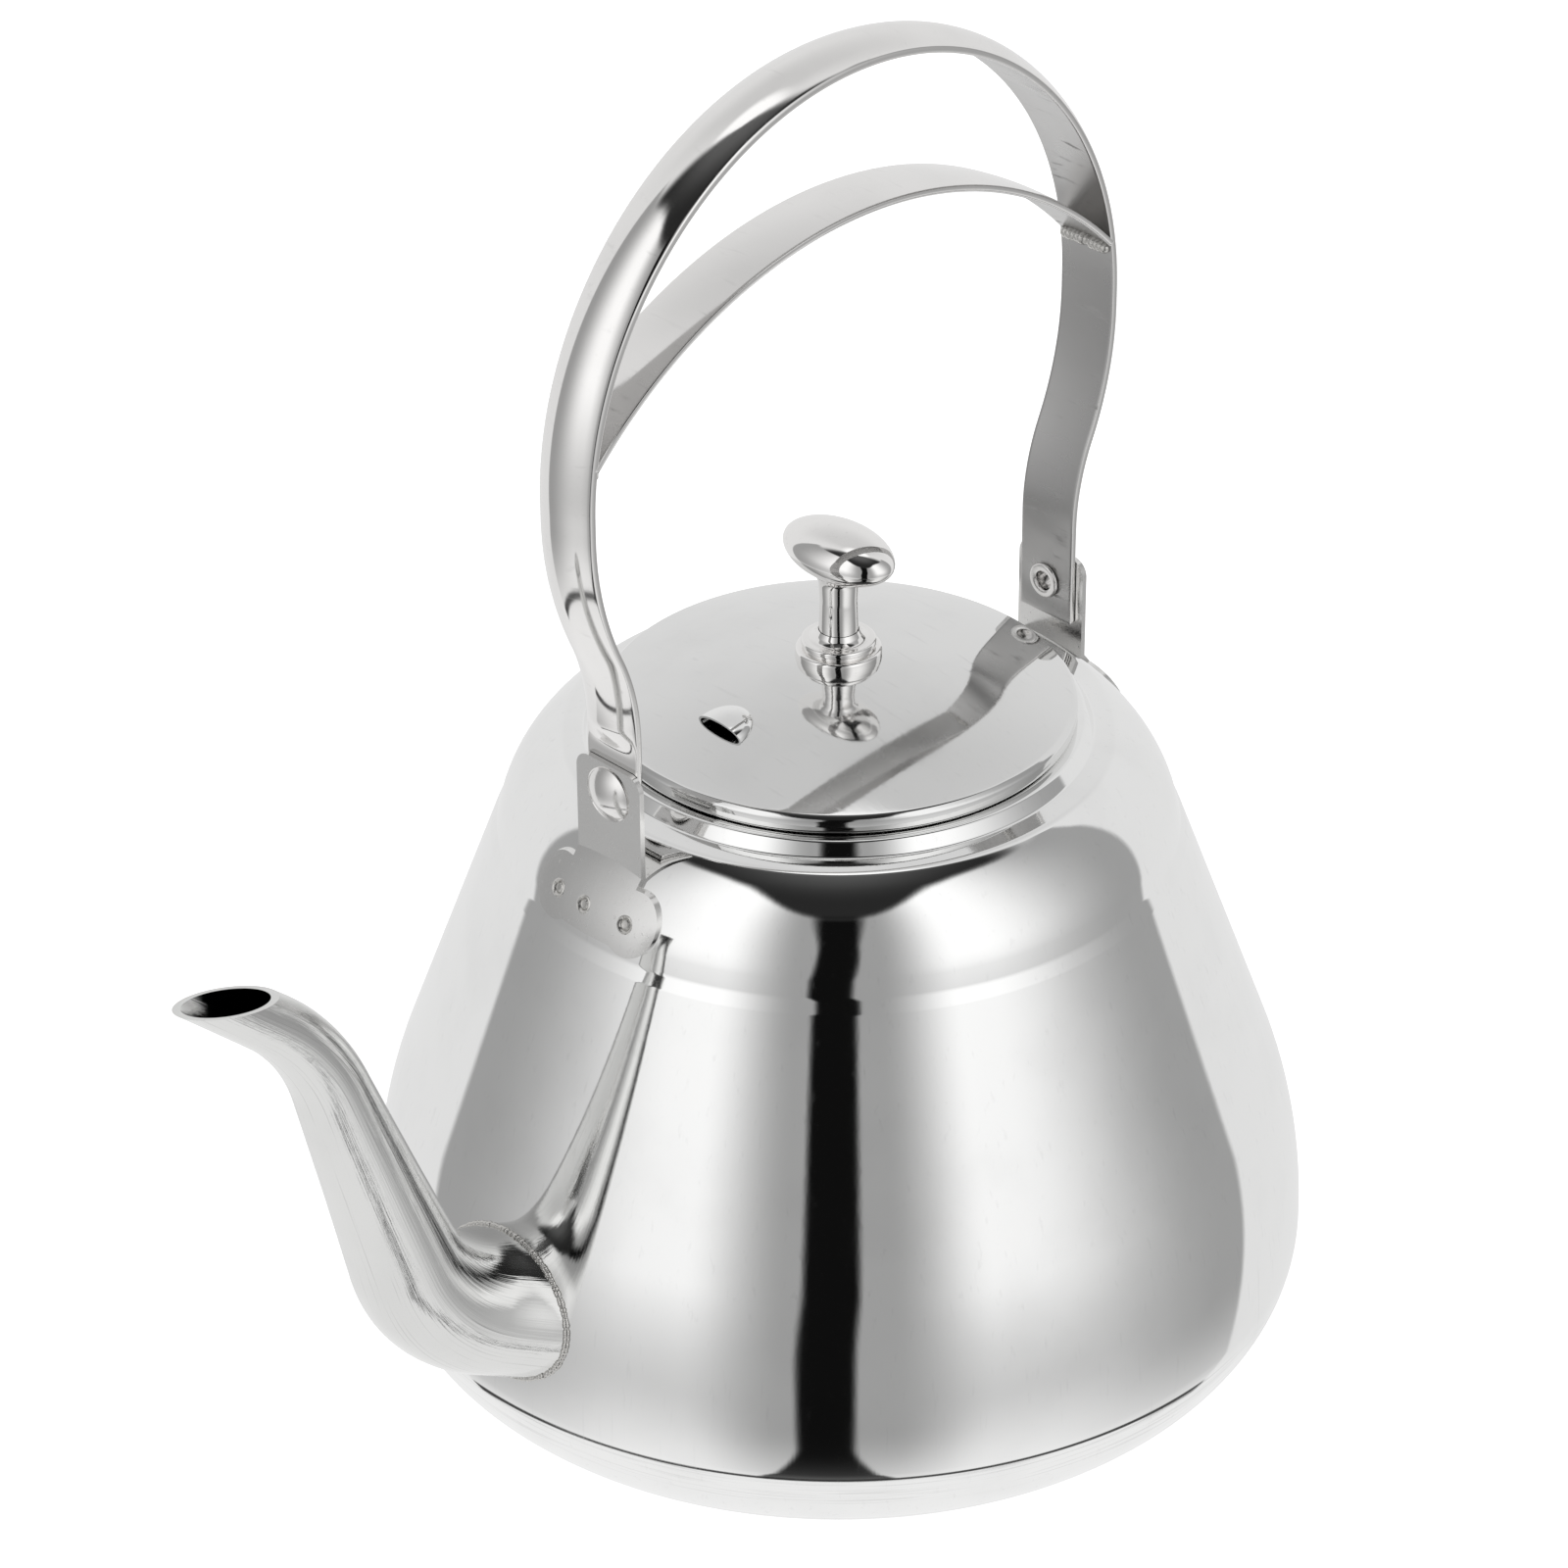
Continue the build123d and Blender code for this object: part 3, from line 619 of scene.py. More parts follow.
TUNNEL_HALF_WIDTH, TUNNEL_HALF_HEIGHT, TUNNEL_REACH = 15.4, 12.1, (-4.0, 34.0)
tunnel_start = np.array(SPOUT_CORNERS[0])
tunnel_ahead = np.array(SPOUT_CORNERS[1]) - tunnel_start
tunnel_ahead /= np.linalg.norm(tunnel_ahead)
tunnel_across = np.array((-tunnel_ahead[1], tunnel_ahead[0]))
tunnel_rows = []
for a in np.linspace(0, 2 * math.pi, 96, endpoint=False):
    for distance in TUNNEL_REACH:
        x, z = tunnel_start + tunnel_ahead * distance + tunnel_across * TUNNEL_HALF_HEIGHT * math.sin(a)
        tunnel_rows.append((x, TUNNEL_HALF_WIDTH * math.cos(a), z))
tunnel = prism("tunnel", tunnel_rows)
body_shell = cut(put("body_skin", shell_mesh, body_steel), tunnel)

# %% [markdown]
# ## Strips that follow a path
# The handle and the grip bar are the same thing at two sizes: a strip of metal bent lengthways to a path and
# crowned across. That is a rule, so it is one Geometry Nodes tree: a flat grid is laid along a curve, and
# raised in the middle by its crown. The crown fades out near the ends where the strap is flat for its rivets.
# Solidify gives the grip its thickness, and Bevel breaks the edges of both, which is where the bright edge
# lines come from.


# %% The strip tree
def tree_with(name, inputs):
    """A Geometry Nodes tree with named inputs, and the identifier of each."""
    tree = bpy.data.node_groups.new(name, "GeometryNodeTree")
    tree.is_modifier = True
    tree.interface.new_socket(name="Geometry", in_out="INPUT", socket_type="NodeSocketGeometry")
    tree.interface.new_socket(name="Geometry", in_out="OUTPUT", socket_type="NodeSocketGeometry")
    keys = {}
    for label, kind in inputs:
        keys[label] = tree.interface.new_socket(name=label, in_out="INPUT", socket_type=kind).identifier
    entry = Signal(tree).node("NodeGroupInput")
    return tree, keys, entry


def close_tree(geometry, material):
    """Ends a tree: instances made real, one material, and out."""
    real = geometry.node("GeometryNodeRealizeInstances", sockets={"Geometry": geometry})
    done = real.node("GeometryNodeSetMaterial", sockets={"Geometry": real, "Material": material})
    done.node("NodeGroupOutput", sockets={"Geometry": done})


def vector_sum(operation, *values):
    first = next(v for v in values if isinstance(v, Signal))
    return first.node("ShaderNodeVectorMath", {"operation": operation}, dict(enumerate(values)))


NUMBER, WHOLE, STUFF = "NodeSocketFloat", "NodeSocketInt", "NodeSocketMaterial"
strip_inputs = [("Width", NUMBER), ("Crown", NUMBER), ("Flat Ends", NUMBER), ("Spoon", NUMBER)]
strip_inputs += [("Length", NUMBER), ("Edge Share", NUMBER), ("Middle Share", NUMBER)]
strip_inputs += [("Rows", WHOLE), ("Columns", WHOLE), ("Material", STUFF)]
strip_tree, strip_keys, given = tree_with("strip_along_path", strip_inputs)

grid_counts = {"Vertices X": given.other("Rows"), "Vertices Y": given.other("Columns")}
grid = given.node("GeometryNodeMeshGrid", sockets={"Size X": 1.0, "Size Y": 1.0, **grid_counts})
flat = given.node("ShaderNodeSeparateXYZ", sockets={0: given.node("GeometryNodeInputPosition")})
from_middle, over = flat.other("X"), flat.other("Y")
rise = 1 - 4.0 * over * over
share = given.other("Edge Share") + (given.other("Middle Share") - given.other("Edge Share")) * rise
factor = 0.5 + from_middle * share
path = given.node(
    "GeometryNodeSampleCurve",
    {"mode": "FACTOR"},
    {"Curves": given.other("Geometry"), "Factor": factor},
    "Position",
)
outward = vector_sum("NORMALIZE", vector_sum("CROSS_PRODUCT", (0.0, 1.0, 0.0), path.other("Tangent")))
to_end = (0.5 - abs(factor - 0.5)) * given.other("Length")
begins = given.other("Flat Ends")
grown = given.node(
    "ShaderNodeMapRange",
    {"interpolation_type": "SMOOTHSTEP"},
    {"Value": to_end, "From Min": begins, "From Max": begins + given.other("Spoon")},
)
lift = given.other("Crown") * rise * grown
crosswise = given.node("ShaderNodeCombineXYZ", sockets={"Y": over * given.other("Width")})
raised = given.node("ShaderNodeVectorMath", {"operation": "SCALE"}, {0: outward, "Scale": lift})
place = vector_sum("ADD", vector_sum("ADD", path, crosswise), raised)
laid = given.node("GeometryNodeSetPosition", sockets={"Geometry": grid, "Position": place})
close_tree(laid, given.other("Material"))
print("strip tree:", len(strip_tree.nodes), "nodes")

# %% [markdown]
# A tree needs a carrier: here a curve through the path's points. The result is read back as a plain mesh and
# the carrier is removed, so no modifier is left on the finished piece.


# %% Laying a strip
def path_object(name, points, cyclic=False):
    """A curve through points in mm, for a tree to follow."""
    curve = bpy.data.curves.new(name, "CURVE")
    curve.dimensions = "3D"
    line = curve.splines.new("POLY")
    line.points.add(len(points) - 1)
    line.use_cyclic_u = cyclic
    for point, place in zip(line.points, points):
        point.co = (*(Vector(place) * MM), 1)
    return linked(name, curve)


def made_by(tree, keys, carrier, **values):
    """Runs a tree on its carrier, and gives its result as a plain mesh."""
    modifier = carrier.modifiers.new("made", "NODES")
    modifier.node_group = tree
    for name, value in values.items():
        modifier[keys[name.replace("_", " ")]] = value
    mesh = plain_mesh(carrier)
    bpy.data.objects.remove(carrier)
    return mesh


def sheet_of(name, mesh, thickness, centre_height, outside, inside):
    """Gives a strip its thickness, unless that is 0, broken edges, and a finish outside and inside."""
    piece = put(name, mesh, outside, inside)
    if thickness:
        wall = piece.modifiers.new("wall", "SOLIDIFY")
        wall.thickness, wall.offset, wall.use_even_offset = thickness * MM, 0, True
    edges = piece.modifiers.new("edges", "BEVEL")
    edges.width, edges.segments, edges.limit_method = 0.22 * MM, 2, "ANGLE"
    edges.angle_limit = math.radians(50)
    solid = plain_mesh(piece)
    piece.modifiers.clear()
    piece.data = solid
    solid.set_sharp_from_angle(angle=math.radians(40))
    for face in solid.polygons:
        middle = face.center
        away = Vector((middle.x, 0, max(0.0, middle.z - centre_height * MM))).normalized()
        face.material_index = 1 if face.normal.dot(away) < -0.5 else 0
    print(f"{name} as a sheet: {len(solid.polygons)} faces")
    return piece

# %% [markdown]
# ## The handle
# Its path goes straight up past the pivot, swings outwards in two opposite bends, and closes in a half
# circle. The strap is crowned outside and nearly flat inside, which Solidify can't give. So the tree lays two
# faces, one each side of the path, and they are joined along their borders.

# %% Handle path
STRAP_WIDTH, STRAP_THICKNESS, STRAP_CROWN, INNER_CROWN, CROWN_GROWS_OVER = 12.5, 1.2, 2.2, 0.2, 6.0
PIVOT_X, PIVOT_Z, END_DROP, END_RISE, SPOON = 53.016, 129.1, 7.0, 9.0, 3.0
ARCH_RADIUS, ARCH_Z, SIDE_STRAIGHT, UPPER_SHARE = 62.016, 186.0, 3.0, 0.59
swing_start = PIVOT_Z + END_RISE + SPOON
swing_end = ARCH_Z - SIDE_STRAIGHT
bend = 2 * math.atan2(ARCH_RADIUS - PIVOT_X, swing_end - swing_start)
both_radii = (swing_end - swing_start) / math.sin(bend)
lower_radius, upper_radius = both_radii * (1 - UPPER_SHARE), both_radii * UPPER_SHARE
lower = arc_points((PIVOT_X + lower_radius, swing_start), lower_radius, 180, 180 - math.degrees(bend), 24)
upper = arc_points((ARCH_RADIUS - upper_radius, swing_end), upper_radius, -math.degrees(bend), 0, 30)
top = arc_points((0, ARCH_Z), ARCH_RADIUS, 0, 90, 80)
half_path = [(PIVOT_X, PIVOT_Z - END_DROP), *lower, *upper[1:], *top]
whole_path = half_path + [(-x, z) for x, z in half_path[-2::-1]]
handle_line = spaced(whole_path, 1.0)
handle_length = float(np.linalg.norm(np.diff(handle_line, axis=0), axis=1).sum())
handle_ahead = np.gradient(handle_line, axis=0)
handle_ahead /= np.linalg.norm(handle_ahead, axis=1)[:, None]
handle_out = np.stack([handle_ahead[:, 1], -handle_ahead[:, 0]], axis=1)
STRAP_ROWS, STRAP_COLUMNS = 520, 21


def strap_face(offset, crown):
    """Points in mm of one face of the strap, that far outside its path."""
    face = made_by(
        strip_tree,
        strip_keys,
        path_object("handle_path", [(x, 0, z) for x, z in handle_line + handle_out * offset]),
        Width=STRAP_WIDTH * MM,
        Crown=crown * MM,
        Flat_Ends=(END_DROP + END_RISE - 1) * MM,
        Spoon=CROWN_GROWS_OVER * MM,
        Length=handle_length * MM,
        Edge_Share=1.0,
        Middle_Share=1.0,
        Rows=STRAP_ROWS,
        Columns=STRAP_COLUMNS,
        Material=strap_steel,
    )
    return [tuple(v.co / MM) for v in face.vertices]


strap_points = strap_face(STRAP_THICKNESS / 2, STRAP_CROWN) + strap_face(-STRAP_THICKNESS / 2, INNER_CROWN)
under = STRAP_ROWS * STRAP_COLUMNS
strap_faces = net(STRAP_ROWS, STRAP_COLUMNS, False, False)
strap_faces += [tuple(i + under for i in face) for face in strap_faces]
border = [i * STRAP_COLUMNS for i in range(STRAP_ROWS)]
border += [under - STRAP_COLUMNS + j for j in range(1, STRAP_COLUMNS)]
border += [i * STRAP_COLUMNS - 1 for i in range(STRAP_ROWS - 1, 0, -1)] + list(range(STRAP_COLUMNS - 2, 0, -1))
strap_faces += [(a, b, b + under, a + under) for a, b in zip(border, border[1:] + border[:1])]
handle_mesh = mesh_of("handle_strap", strap_points, strap_faces)
handle = sheet_of("handle_strap", handle_mesh, 0, ARCH_Z, strap_steel, satin_steel)
print("handle path:", round(handle_length), "mm")

# %% [markdown]
# The holes are round and their edges are hidden under the rivets, so a boolean with a rod is simplest.


# %% Holes for the rivets
def rod(name, radius, start, end, height):
    """A plain round rod along X, to cut with."""
    angles = np.linspace(0, 2 * math.pi, 64, endpoint=False)
    return prism(
        name, [(x, radius * math.cos(a), height + radius * math.sin(a)) for a in angles for x in (start, end)]
    )


RIVET_RADIUS, PIVOT_PLAY = 2.5, 0.05
cut(
    handle,
    rod("front_drill", RIVET_RADIUS + PIVOT_PLAY, PIVOT_X - 5, PIVOT_X + 5, PIVOT_Z),
    rod("rear_drill", RIVET_RADIUS + PIVOT_PLAY, -PIVOT_X - 5, -PIVOT_X + 5, PIVOT_Z),
)

# %% [markdown]
# ## The grip bar
# A flatter arch inside the handle. Its ends go a little way into the strap's inner face, further in the
# middle than at the edges, so that no gap shows where they are welded.

# %% Grip bar
GRIP_RADIUS, GRIP_TOP, GRIP_CROWN, GRIP_THICKNESS = 84.0, 222.0, 0.5, 1.2
GRIP_HALF_ARC = 52.0
grip_centre = GRIP_TOP - GRIP_RADIUS - GRIP_CROWN


def reach_angle(distance):
    """Angle at which the grip's arc is that far from the centre of the handle's round top."""
    lower_by = ARCH_Z - grip_centre
    return math.degrees(math.acos((GRIP_RADIUS**2 + lower_by**2 - distance**2) / (2 * GRIP_RADIUS * lower_by)))


grip_line = arc_points((0, grip_centre), GRIP_RADIUS, 90 - GRIP_HALF_ARC, 90 + GRIP_HALF_ARC, 160)
grip_mesh = made_by(
    strip_tree,
    strip_keys,
    path_object("grip_path", [(x, 0, z) for x, z in grip_line]),
    Width=STRAP_WIDTH * MM,
    Crown=GRIP_CROWN * MM,
    Flat_Ends=-1.0,
    Spoon=0.5,
    Length=1.0,
    Edge_Share=reach_angle(ARCH_RADIUS - 0.3) / GRIP_HALF_ARC,
    Middle_Share=reach_angle(ARCH_RADIUS + 0.3) / GRIP_HALF_ARC,
    Rows=240,
    Columns=21,
    Material=strap_steel,
)
grip = sheet_of("grip_strip", grip_mesh, GRIP_THICKNESS, grip_centre, strap_steel, satin_steel)

# %% [markdown]
# ## Weld beads
# A weld is a row of drops that froze into each other. One tree lays small drops along a path, close
# enough to merge, with sizes from a fixed seed. It makes the ring round the spout's root and the two beads
# under the grip's ends.

# %% The bead tree
bead_inputs = [("Drop Radius", NUMBER), ("Drops", WHOLE), ("Unevenness", NUMBER)]
bead_inputs += [("Seed", WHOLE), ("Material", STUFF)]
bead_tree, bead_keys, given = tree_with("weld_bead", bead_inputs)
points = given.node(
    "GeometryNodeCurveToPoints",
    {"mode": "COUNT"},
    {"Curve": given.other("Geometry"), "Count": given.other("Drops")},
)
drop_sockets = {"Radius": given.other("Drop Radius"), "Subdivisions": 2}
drop = given.node("GeometryNodeMeshIcoSphere", sockets=drop_sockets)
smallest = 1 - given.other("Unevenness")
largest = 1 + given.other("Unevenness")
scale = given.node(
    "FunctionNodeRandomValue",
    {"data_type": "FLOAT"},
    {2: smallest, 3: largest, "Seed": given.other("Seed")},
    1,
)
drops = given.node(
    "GeometryNodeInstanceOnPoints",
    sockets={"Points": points, "Instance": drop, "Rotation": points.other("Rotation"), "Scale": scale},
)
close_tree(drops, given.other("Material"))

spout_bead_mesh = made_by(
    bead_tree,
    bead_keys,
    path_object("spout_bead_path", root_ring, cyclic=True),
    Drop_Radius=0.6 * MM,
    Drops=260,
    Unevenness=0.22,
    Seed=3,
    Material=weld_steel,
)
spout_bead = put("spout_bead", spout_bead_mesh, weld_steel)

bead_reach = ARCH_RADIUS - STRAP_THICKNESS / 2 - 0.7
bead_drop = GRIP_RADIUS - math.sqrt(GRIP_RADIUS**2 - bead_reach**2)
bead_height = GRIP_TOP - GRIP_CROWN - bead_drop - GRIP_THICKNESS / 2 - 0.8
BEAD_BOW, BEAD_HALF = 0.35, 4.6
beads = []
for sign in (1, -1):
    line = [
        (sign * (bead_reach + BEAD_BOW * (1 - (y / 5) ** 2)), y, bead_height)
        for y in np.linspace(-BEAD_HALF, BEAD_HALF, 24)
    ]
    beads.append(
        made_by(
            bead_tree,
            bead_keys,
            path_object("grip_bead_path", line),
            Drop_Radius=1.15 * MM,
            Drops=11,
            Unevenness=0.28,
            Seed=11 + sign,
            Material=weld_steel,
        )
    )


def joined(name, meshes, *materials):
    """Several meshes as one piece."""
    shape = bmesh.new()
    for mesh in meshes:
        shape.from_mesh(mesh)
    whole = bpy.data.meshes.new(name)
    shape.to_mesh(whole)
    shape.free()
    return put(name, whole, *materials)


grip_beads = joined("grip_beads", beads, weld_steel)

# %% [markdown]
# ## The lid
# A shallow spun dome with a rolled edge. A vent is pierced and pushed up towards the spout: half of a
# flattened ball, open at its front. A plug ring under it centres the lid in the mouth.

# %% Lid plate
SEAT_GAP, LID_RADIUS, LID_EDGE, LID_RISE, EDGE_ROUND = 0.1, 42.0, 3.6, 11.7, 1.5
LID_BOTTOM = RIM_TOP + SEAT_GAP
LID_TOP = LID_BOTTOM + LID_RISE
SKIRT_RADIUS, SKIRT_DEPTH = MOUTH_RADIUS - 0.6, 9.0
dome_chord, dome_rise = LID_RADIUS - EDGE_ROUND / 2, LID_RISE - LID_EDGE
dome_radius = (dome_chord**2 + dome_rise**2) / (2 * dome_rise)
dome_centre = LID_TOP - dome_radius
dome_half = math.degrees(math.asin(dome_chord / dome_radius))
dome = arc_points((0, dome_centre), dome_radius, 90, 90 - dome_half, 46)
edge = rounded(
    [
        dome[-2],
        dome[-1],
        (LID_RADIUS, LID_BOTTOM + LID_EDGE - 0.75),
        (LID_RADIUS, LID_BOTTOM),
        (SKIRT_RADIUS, LID_BOTTOM),
    ],
    [1.5, 0.9, 1.1],
)
lid_outer = np.concatenate([dome[:-2], edge])[::-1]
lid_inner = left_of(lid_outer, WALL)
lid_inner[-1] = (0, LID_TOP - WALL)
lid_mesh = turned("lid_dome", np.concatenate([lid_outer, lid_inner[::-1]]), 300)
lid_plate = put("lid_dome", lid_mesh, lid_steel)

# %% [markdown]
# The hood over the vent is worked out as rings of points on half of a flattened ball. The same rings, a
# wall's thickness smaller, cut the hole in the lid.

# %% Vent louvre
VENT_X, VENT_HALF, VENT_LENGTH, VENT_HEIGHT, VENT_WALL = 28.7, 5.2, 6.4, 2.3, 0.45
vent_tilt = math.asin(VENT_X / dome_radius)
vent_base = dome_centre + math.sqrt(dome_radius**2 - VENT_X**2)
VENT_RINGS, VENT_AROUND = 28, 48


def blister(shrink, lowest=-1.0):
    """Points of a half of a flattened ball that is cut off square at its front."""
    rows = []
    for lean in np.linspace(0, math.pi / 2, VENT_RINGS):
        for a in np.linspace(0, 2 * math.pi, VENT_AROUND, endpoint=False):
            x = -(VENT_LENGTH - shrink) * math.cos(lean)
            y = (VENT_HALF - shrink) * math.sin(lean) * math.cos(a)
            z = max(lowest, (VENT_HEIGHT - shrink) * math.sin(lean) * math.sin(a))
            rows.append((
                VENT_X + x * math.cos(vent_tilt) + z * math.sin(vent_tilt),
                y,
                vent_base - x * math.sin(vent_tilt) + z * math.cos(vent_tilt),
            ))
    return rows


vent_net = net(VENT_RINGS, VENT_AROUND, False, True)
count = VENT_RINGS * VENT_AROUND
front_ring = list(range(count - VENT_AROUND, count))
vent_cutter = put("vent_cutter", mesh_of("vent_cutter", blister(VENT_WALL), vent_net + [tuple(front_ring)]))
cut(lid_plate, vent_cutter)
hood_rows = blister(0, lowest=-0.5) + blister(VENT_WALL, lowest=-0.5)
hood_faces = vent_net + [tuple(i + count for i in face) for face in vent_net]
hood_faces += [(i, j, count + j, count + i) for i, j in zip(front_ring, front_ring[1:] + front_ring[:1])]
hood_mesh = mesh_of("vent_hood", hood_rows, hood_faces)
shape = bmesh.new()
shape.from_mesh(hood_mesh)
tilted_up = Vector((math.sin(vent_tilt), 0, math.cos(vent_tilt)))
low = [v for v in shape.verts if (v.co - Vector((VENT_X, 0, vent_base)) * MM).dot(tilted_up) < -0.45 * MM]
bmesh.ops.delete(shape, geom=low, context="VERTS")
shape.to_mesh(hood_mesh)
shape.free()
vent_hood = put("vent_hood", hood_mesh, mirror_steel, sharp=50)

# %% [markdown]
# The plug ring is a plain hoop with a small flange under the plate. It is seen only when the lid is lifted.

# %% Plug ring
ring_top = LID_BOTTOM + 2 * WALL
ring = rounded(
    [
        (SKIRT_RADIUS - WALL, ring_top),
        (SKIRT_RADIUS - WALL, LID_BOTTOM - SKIRT_DEPTH),
        (SKIRT_RADIUS, LID_BOTTOM - SKIRT_DEPTH),
        (SKIRT_RADIUS, ring_top - WALL),
        (SKIRT_RADIUS + 1.2, ring_top - WALL),
        (SKIRT_RADIUS + 1.2, ring_top),
    ],
    [0.3, 0.3, 0.2, 0.2],
)
lid_skirt = put("plug_ring", turned("plug_ring", ring, 240), inner_steel)

# %% [markdown]
# ## The knob
# Turned parts: a foot with a groove and a cove, a waisted stem, and an olive-shaped head lying across the
# spout's direction. Screw and washer are inside the lid, so the CAD solids stay for those, with a better
# finish.

# %% Knob foot, stem and head
foot_top = LID_TOP + 1.8
foot = rounded(
    [
        (3.6, LID_TOP + 5.1),
        (4.05, LID_TOP + 4.2),
        (5.0, foot_top + 1.6),
        (6.6, foot_top + 1.65),
        (6.65, foot_top + 0.55),
        (6.15, foot_top + 0.4),
        (6.15, foot_top + 0.02),
        (7.6, foot_top),
        (7.7, LID_TOP + 0.2),
        (7.7, LID_TOP - 0.55),
        (3.6, LID_TOP - 0.2),
    ],
    [0.8, 1.4, 0.5, 0.5, 0.2, 0.2, 0.7, 0.5, 0.1],
)
knob_foot = put("turned_foot", turned("turned_foot", foot, 160), knob_steel)
head_centre = LID_TOP + 20.4
stem = rounded(
    [
        (0, LID_TOP),
        (3.5, LID_TOP),
        (3.5, LID_TOP + 6),
        (3.35, LID_TOP + 11),
        (3.6, head_centre - 5.4),
        (4.6, head_centre - 3.9),
        (3.4, head_centre - 2.5),
        (0, head_centre - 2.5),
    ],
    [0.05, 6, 12, 3, 0.3, 0.3],
)
knob_stem = put("turned_stem", turned("turned_stem", stem, 128), knob_steel)

HEAD_HALF = (7.2, 12.0, 4.9)
rows = []
for lean in np.linspace(0, math.pi, 97):
    for a in np.linspace(0, 2 * math.pi, 128, endpoint=False):
        girth = math.sin(lean) ** 1.06
        rows.append((
            HEAD_HALF[0] * girth * math.cos(a),
            -HEAD_HALF[1] * math.cos(lean),
            head_centre + HEAD_HALF[2] * girth * math.sin(a),
        ))
knob_head = put("olive_head", mesh_of("olive_head", rows, net(97, 128, False, True)), knob_steel)

# %% [markdown]
# ## Rivets
# Each pivot is one tubular rivet: a domed head outside, a rolled eyelet inside. It is turned once, and a
# small tree puts it at both pivots, facing outwards.

# %% Rivets
LUG_INNER = PIVOT_X + STRAP_THICKNESS / 2 + 0.1
LUG_OUTER = LUG_INNER + 1.0
eyelet = PIVOT_X - STRAP_THICKNESS / 2 - 0.1
HEAD_RADIUS, HEAD_HEIGHT = 5.0, 1.7
head_ball = (HEAD_RADIUS**2 + HEAD_HEIGHT**2) / (2 * HEAD_HEIGHT)
head_lowest = 90 - math.degrees(math.asin(HEAD_RADIUS / head_ball))
head_curve = arc_points((0, LUG_OUTER + HEAD_HEIGHT - head_ball), head_ball, 90, head_lowest, 22)
roll_end = arc_points((2.9, eyelet - 0.42), 0.42, 270, 450, 9)
rivet_outline = head_curve[:-1] + [(4.98, LUG_OUTER + 0.25), (4.85, LUG_OUTER), (RIVET_RADIUS, LUG_OUTER)]
rivet_outline += [(RIVET_RADIUS, eyelet)] + roll_end[::-1]
rivet_outline += [(1.9, eyelet - 0.6), (1.7, eyelet), (1.7, LUG_INNER), (0, LUG_INNER)]
rivet_part = put("rivet_part", turned("rivet_part", rivet_outline, 72), rivet_steel)

part_tree, part_keys, given = tree_with("part_on_points", [("Part", "NodeSocketObject"), ("Material", STUFF)])
part = given.node("GeometryNodeObjectInfo", sockets={"Object": given.other("Part")}, output="Geometry")
spots = given.node("GeometryNodeMeshToPoints", sockets={"Mesh": given.other("Geometry")})
facing = given.node("GeometryNodeInputNamedAttribute", {"data_type": "FLOAT_VECTOR"}, {"Name": "facing"})
aim = given.node("FunctionNodeAlignRotationToVector", {"axis": "Z"}, {"Vector": facing})
both = given.node("GeometryNodeInstanceOnPoints", sockets={"Points": spots, "Instance": part, "Rotation": aim})
close_tree(both, given.other("Material"))


def marked_points(name, places, facings):
    """Points in mm that each know which way a part on them faces."""
    mesh = bpy.data.meshes.new(name)
    mesh.from_pydata([Vector(p) * MM for p in places], [], [])
    attribute = mesh.attributes.new("facing", "FLOAT_VECTOR", "POINT")
    attribute.data.foreach_set("vector", [c for f in facings for c in f])
    return linked(name, mesh)


pivots = marked_points("pivots", [(0, 0, PIVOT_Z), (0, 0, PIVOT_Z)], [(1, 0, 0), (-1, 0, 0)])
rivet_mesh = made_by(part_tree, part_keys, pivots, Part=rivet_part, Material=rivet_steel)
bpy.data.objects.remove(rivet_part)
rivets = put("rivets", rivet_mesh, rivet_steel)

# %% [markdown]
# ## Spot welds
# Each lug is held by three spot welds, which leave a shallow ring with a rough middle. The same tree puts
# them on, facing the way the shoulder does at each place.

# %% Spot welds
LUG_THICKNESS, SPOT_HEIGHT, SPOT_PLACES = 1.0, 108.6, (-8.5, -1.5, 8.3)
nugget = [(0, -0.12), (0.35, -0.2), (0.7, -0.1), (0.95, -0.26), (1.15, 0.02)]
nugget += [(1.4, 0.16), (1.62, 0.06), (1.72, -0.1), (1.6, -0.5), (0, -0.5)]
spot_part = put("spot_part", turned("spot_part", nugget, 32), weld_steel)
heights = side[:outside_top, 1]
radii = side[:outside_top, 0]
slope = (np.interp(SPOT_HEIGHT - 1, heights, radii) - np.interp(SPOT_HEIGHT + 1, heights, radii)) / 2
looking_up = math.atan(slope)
shoulder_radius = float(np.interp(SPOT_HEIGHT, heights, radii)) + LUG_THICKNESS / math.cos(looking_up)
places, facings = [], []
for side_sign in (1, -1):
    for y in SPOT_PLACES:
        x = math.sqrt(shoulder_radius**2 - y**2)
        places.append((side_sign * x, side_sign * y, SPOT_HEIGHT))
        level = math.cos(looking_up) / shoulder_radius * side_sign
        facings.append((x * level, y * level, math.sin(looking_up)))
spots_marked = marked_points("spots", places, facings)
spot_mesh = made_by(part_tree, part_keys, spots_marked, Part=spot_part, Material=weld_steel)
bpy.data.objects.remove(spot_part)
spot_welds = put("spot_welds", spot_mesh, weld_steel)

# %% [markdown]
# ## What stays from the CAD model
# The lugs, the screw and the washer have the right shape already. They only get their finish.

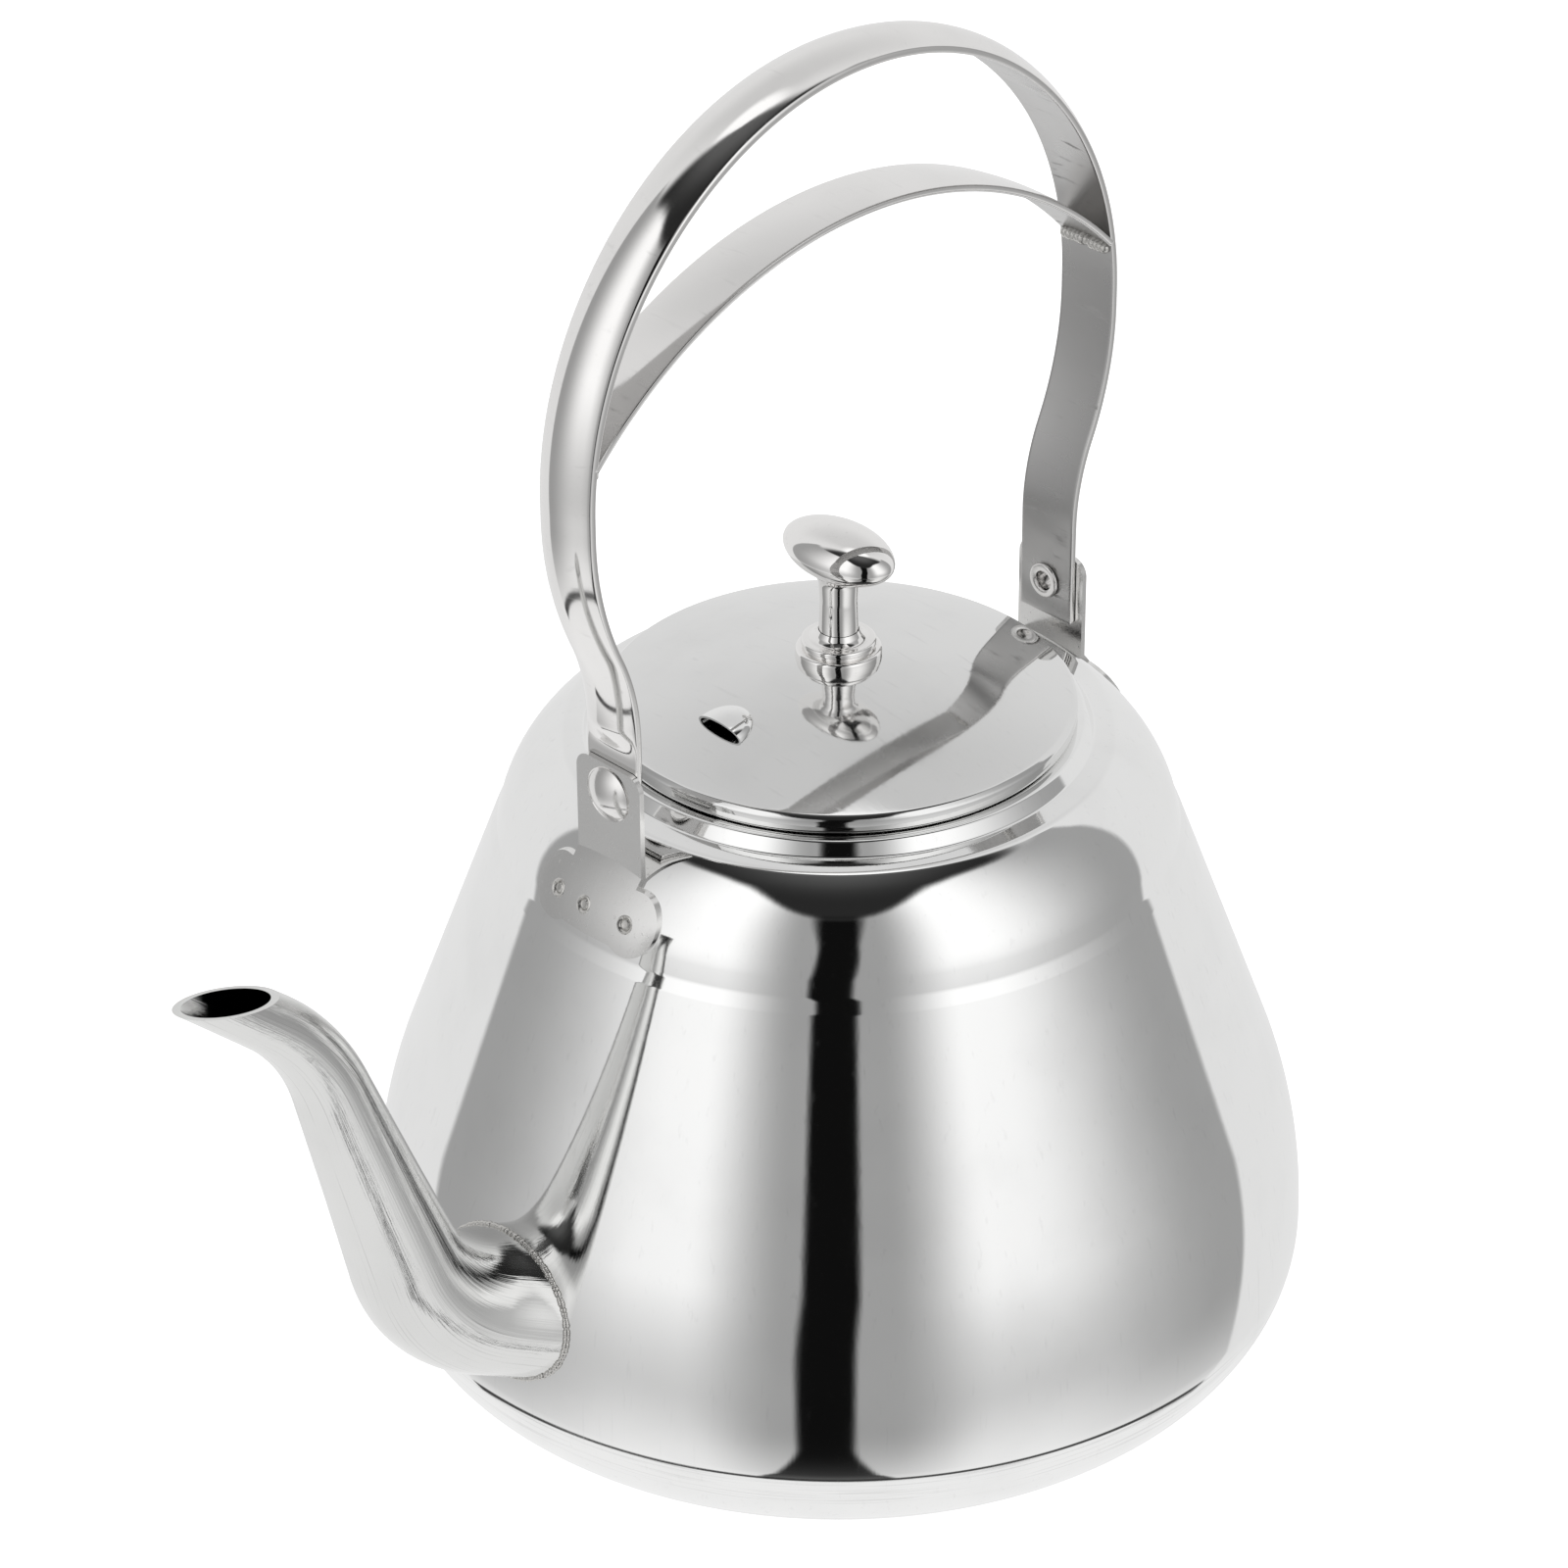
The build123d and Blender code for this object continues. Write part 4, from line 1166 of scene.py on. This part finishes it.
# %% Finishes for CAD pieces
for node, material in {
    "lug_front": lug_steel,
    "lug_rear": lug_steel,
    "knob_screw": rivet_steel,
    "knob_washer": rivet_steel,
}.items():
    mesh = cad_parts[node].data
    mesh.materials.clear()
    mesh.materials.append(material)
    print(node, "is finished in", material.name)

# %% [markdown]
# ## Joining pieces to the frame
# Each piece moves with one CAD body and stands for the CAD nodes that it replaces.

# %% Bodies, nodes and slots
for piece, body, nodes, slot in (
    (body_shell, "kettle", ["body_shell"], "polished_steel"),
    (base_pan, "kettle", ["base_pan"], "polished_steel"),
    (spout, "kettle", ["spout_half_left", "spout_half_right"], "polished_steel"),
    (spout_bead, "kettle", ["spout_weld"], "weld_steel"),
    (rivets, "kettle", ["rivet_front", "rivet_rear"], "fastener_steel"),
    (spot_welds, "kettle", [], "weld_steel"),
    (handle, "bail", ["bail_strap"], "strap_steel"),
    (grip, "bail", ["grip_bar"], "strap_steel"),
    (grip_beads, "bail", ["grip_welds"], "weld_steel"),
    (lid_plate, "lid", ["lid_plate"], "polished_steel"),
    (vent_hood, "lid", [], "polished_steel"),
    (lid_skirt, "lid", ["lid_skirt"], "inner_steel"),
    (knob_foot, "lid", ["knob_foot"], "knob_steel"),
    (knob_stem, "lid", ["knob_stem"], "knob_steel"),
    (knob_head, "lid", ["knob_head"], "knob_steel"),
):
    if nodes:
        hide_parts(*nodes)
    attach(piece, body)

# %% [markdown]
# ## The floor
# Plain and pale. It is hidden from mirror rays, so the tent is what the steel reflects below the horizon too.

# %% Floor
floor_mesh = bpy.data.meshes.new("floor")
floor_mesh.from_pydata([(-4, -4, 0), (4, -4, 0), (4, 4, 0), (-4, 4, 0)], [], [(0, 1, 2, 3)])
floor = linked("floor", floor_mesh)
floor_paint = bpy.data.materials.new("floor_paint")
floor_paint.use_nodes = True
paint = floor_paint.node_tree.nodes["Principled BSDF"]
paint.inputs["Base Color"].default_value = (0.97, 0.97, 0.97, 1)
paint.inputs["Roughness"].default_value = 1.0
paint.inputs["Specular IOR Level"].default_value = 0.0
paint.inputs["Emission Color"].default_value = (1, 1, 1, 1)
paint.inputs["Emission Strength"].default_value = 0.7
floor_mesh.materials.append(floor_paint)
floor.visible_glossy = False
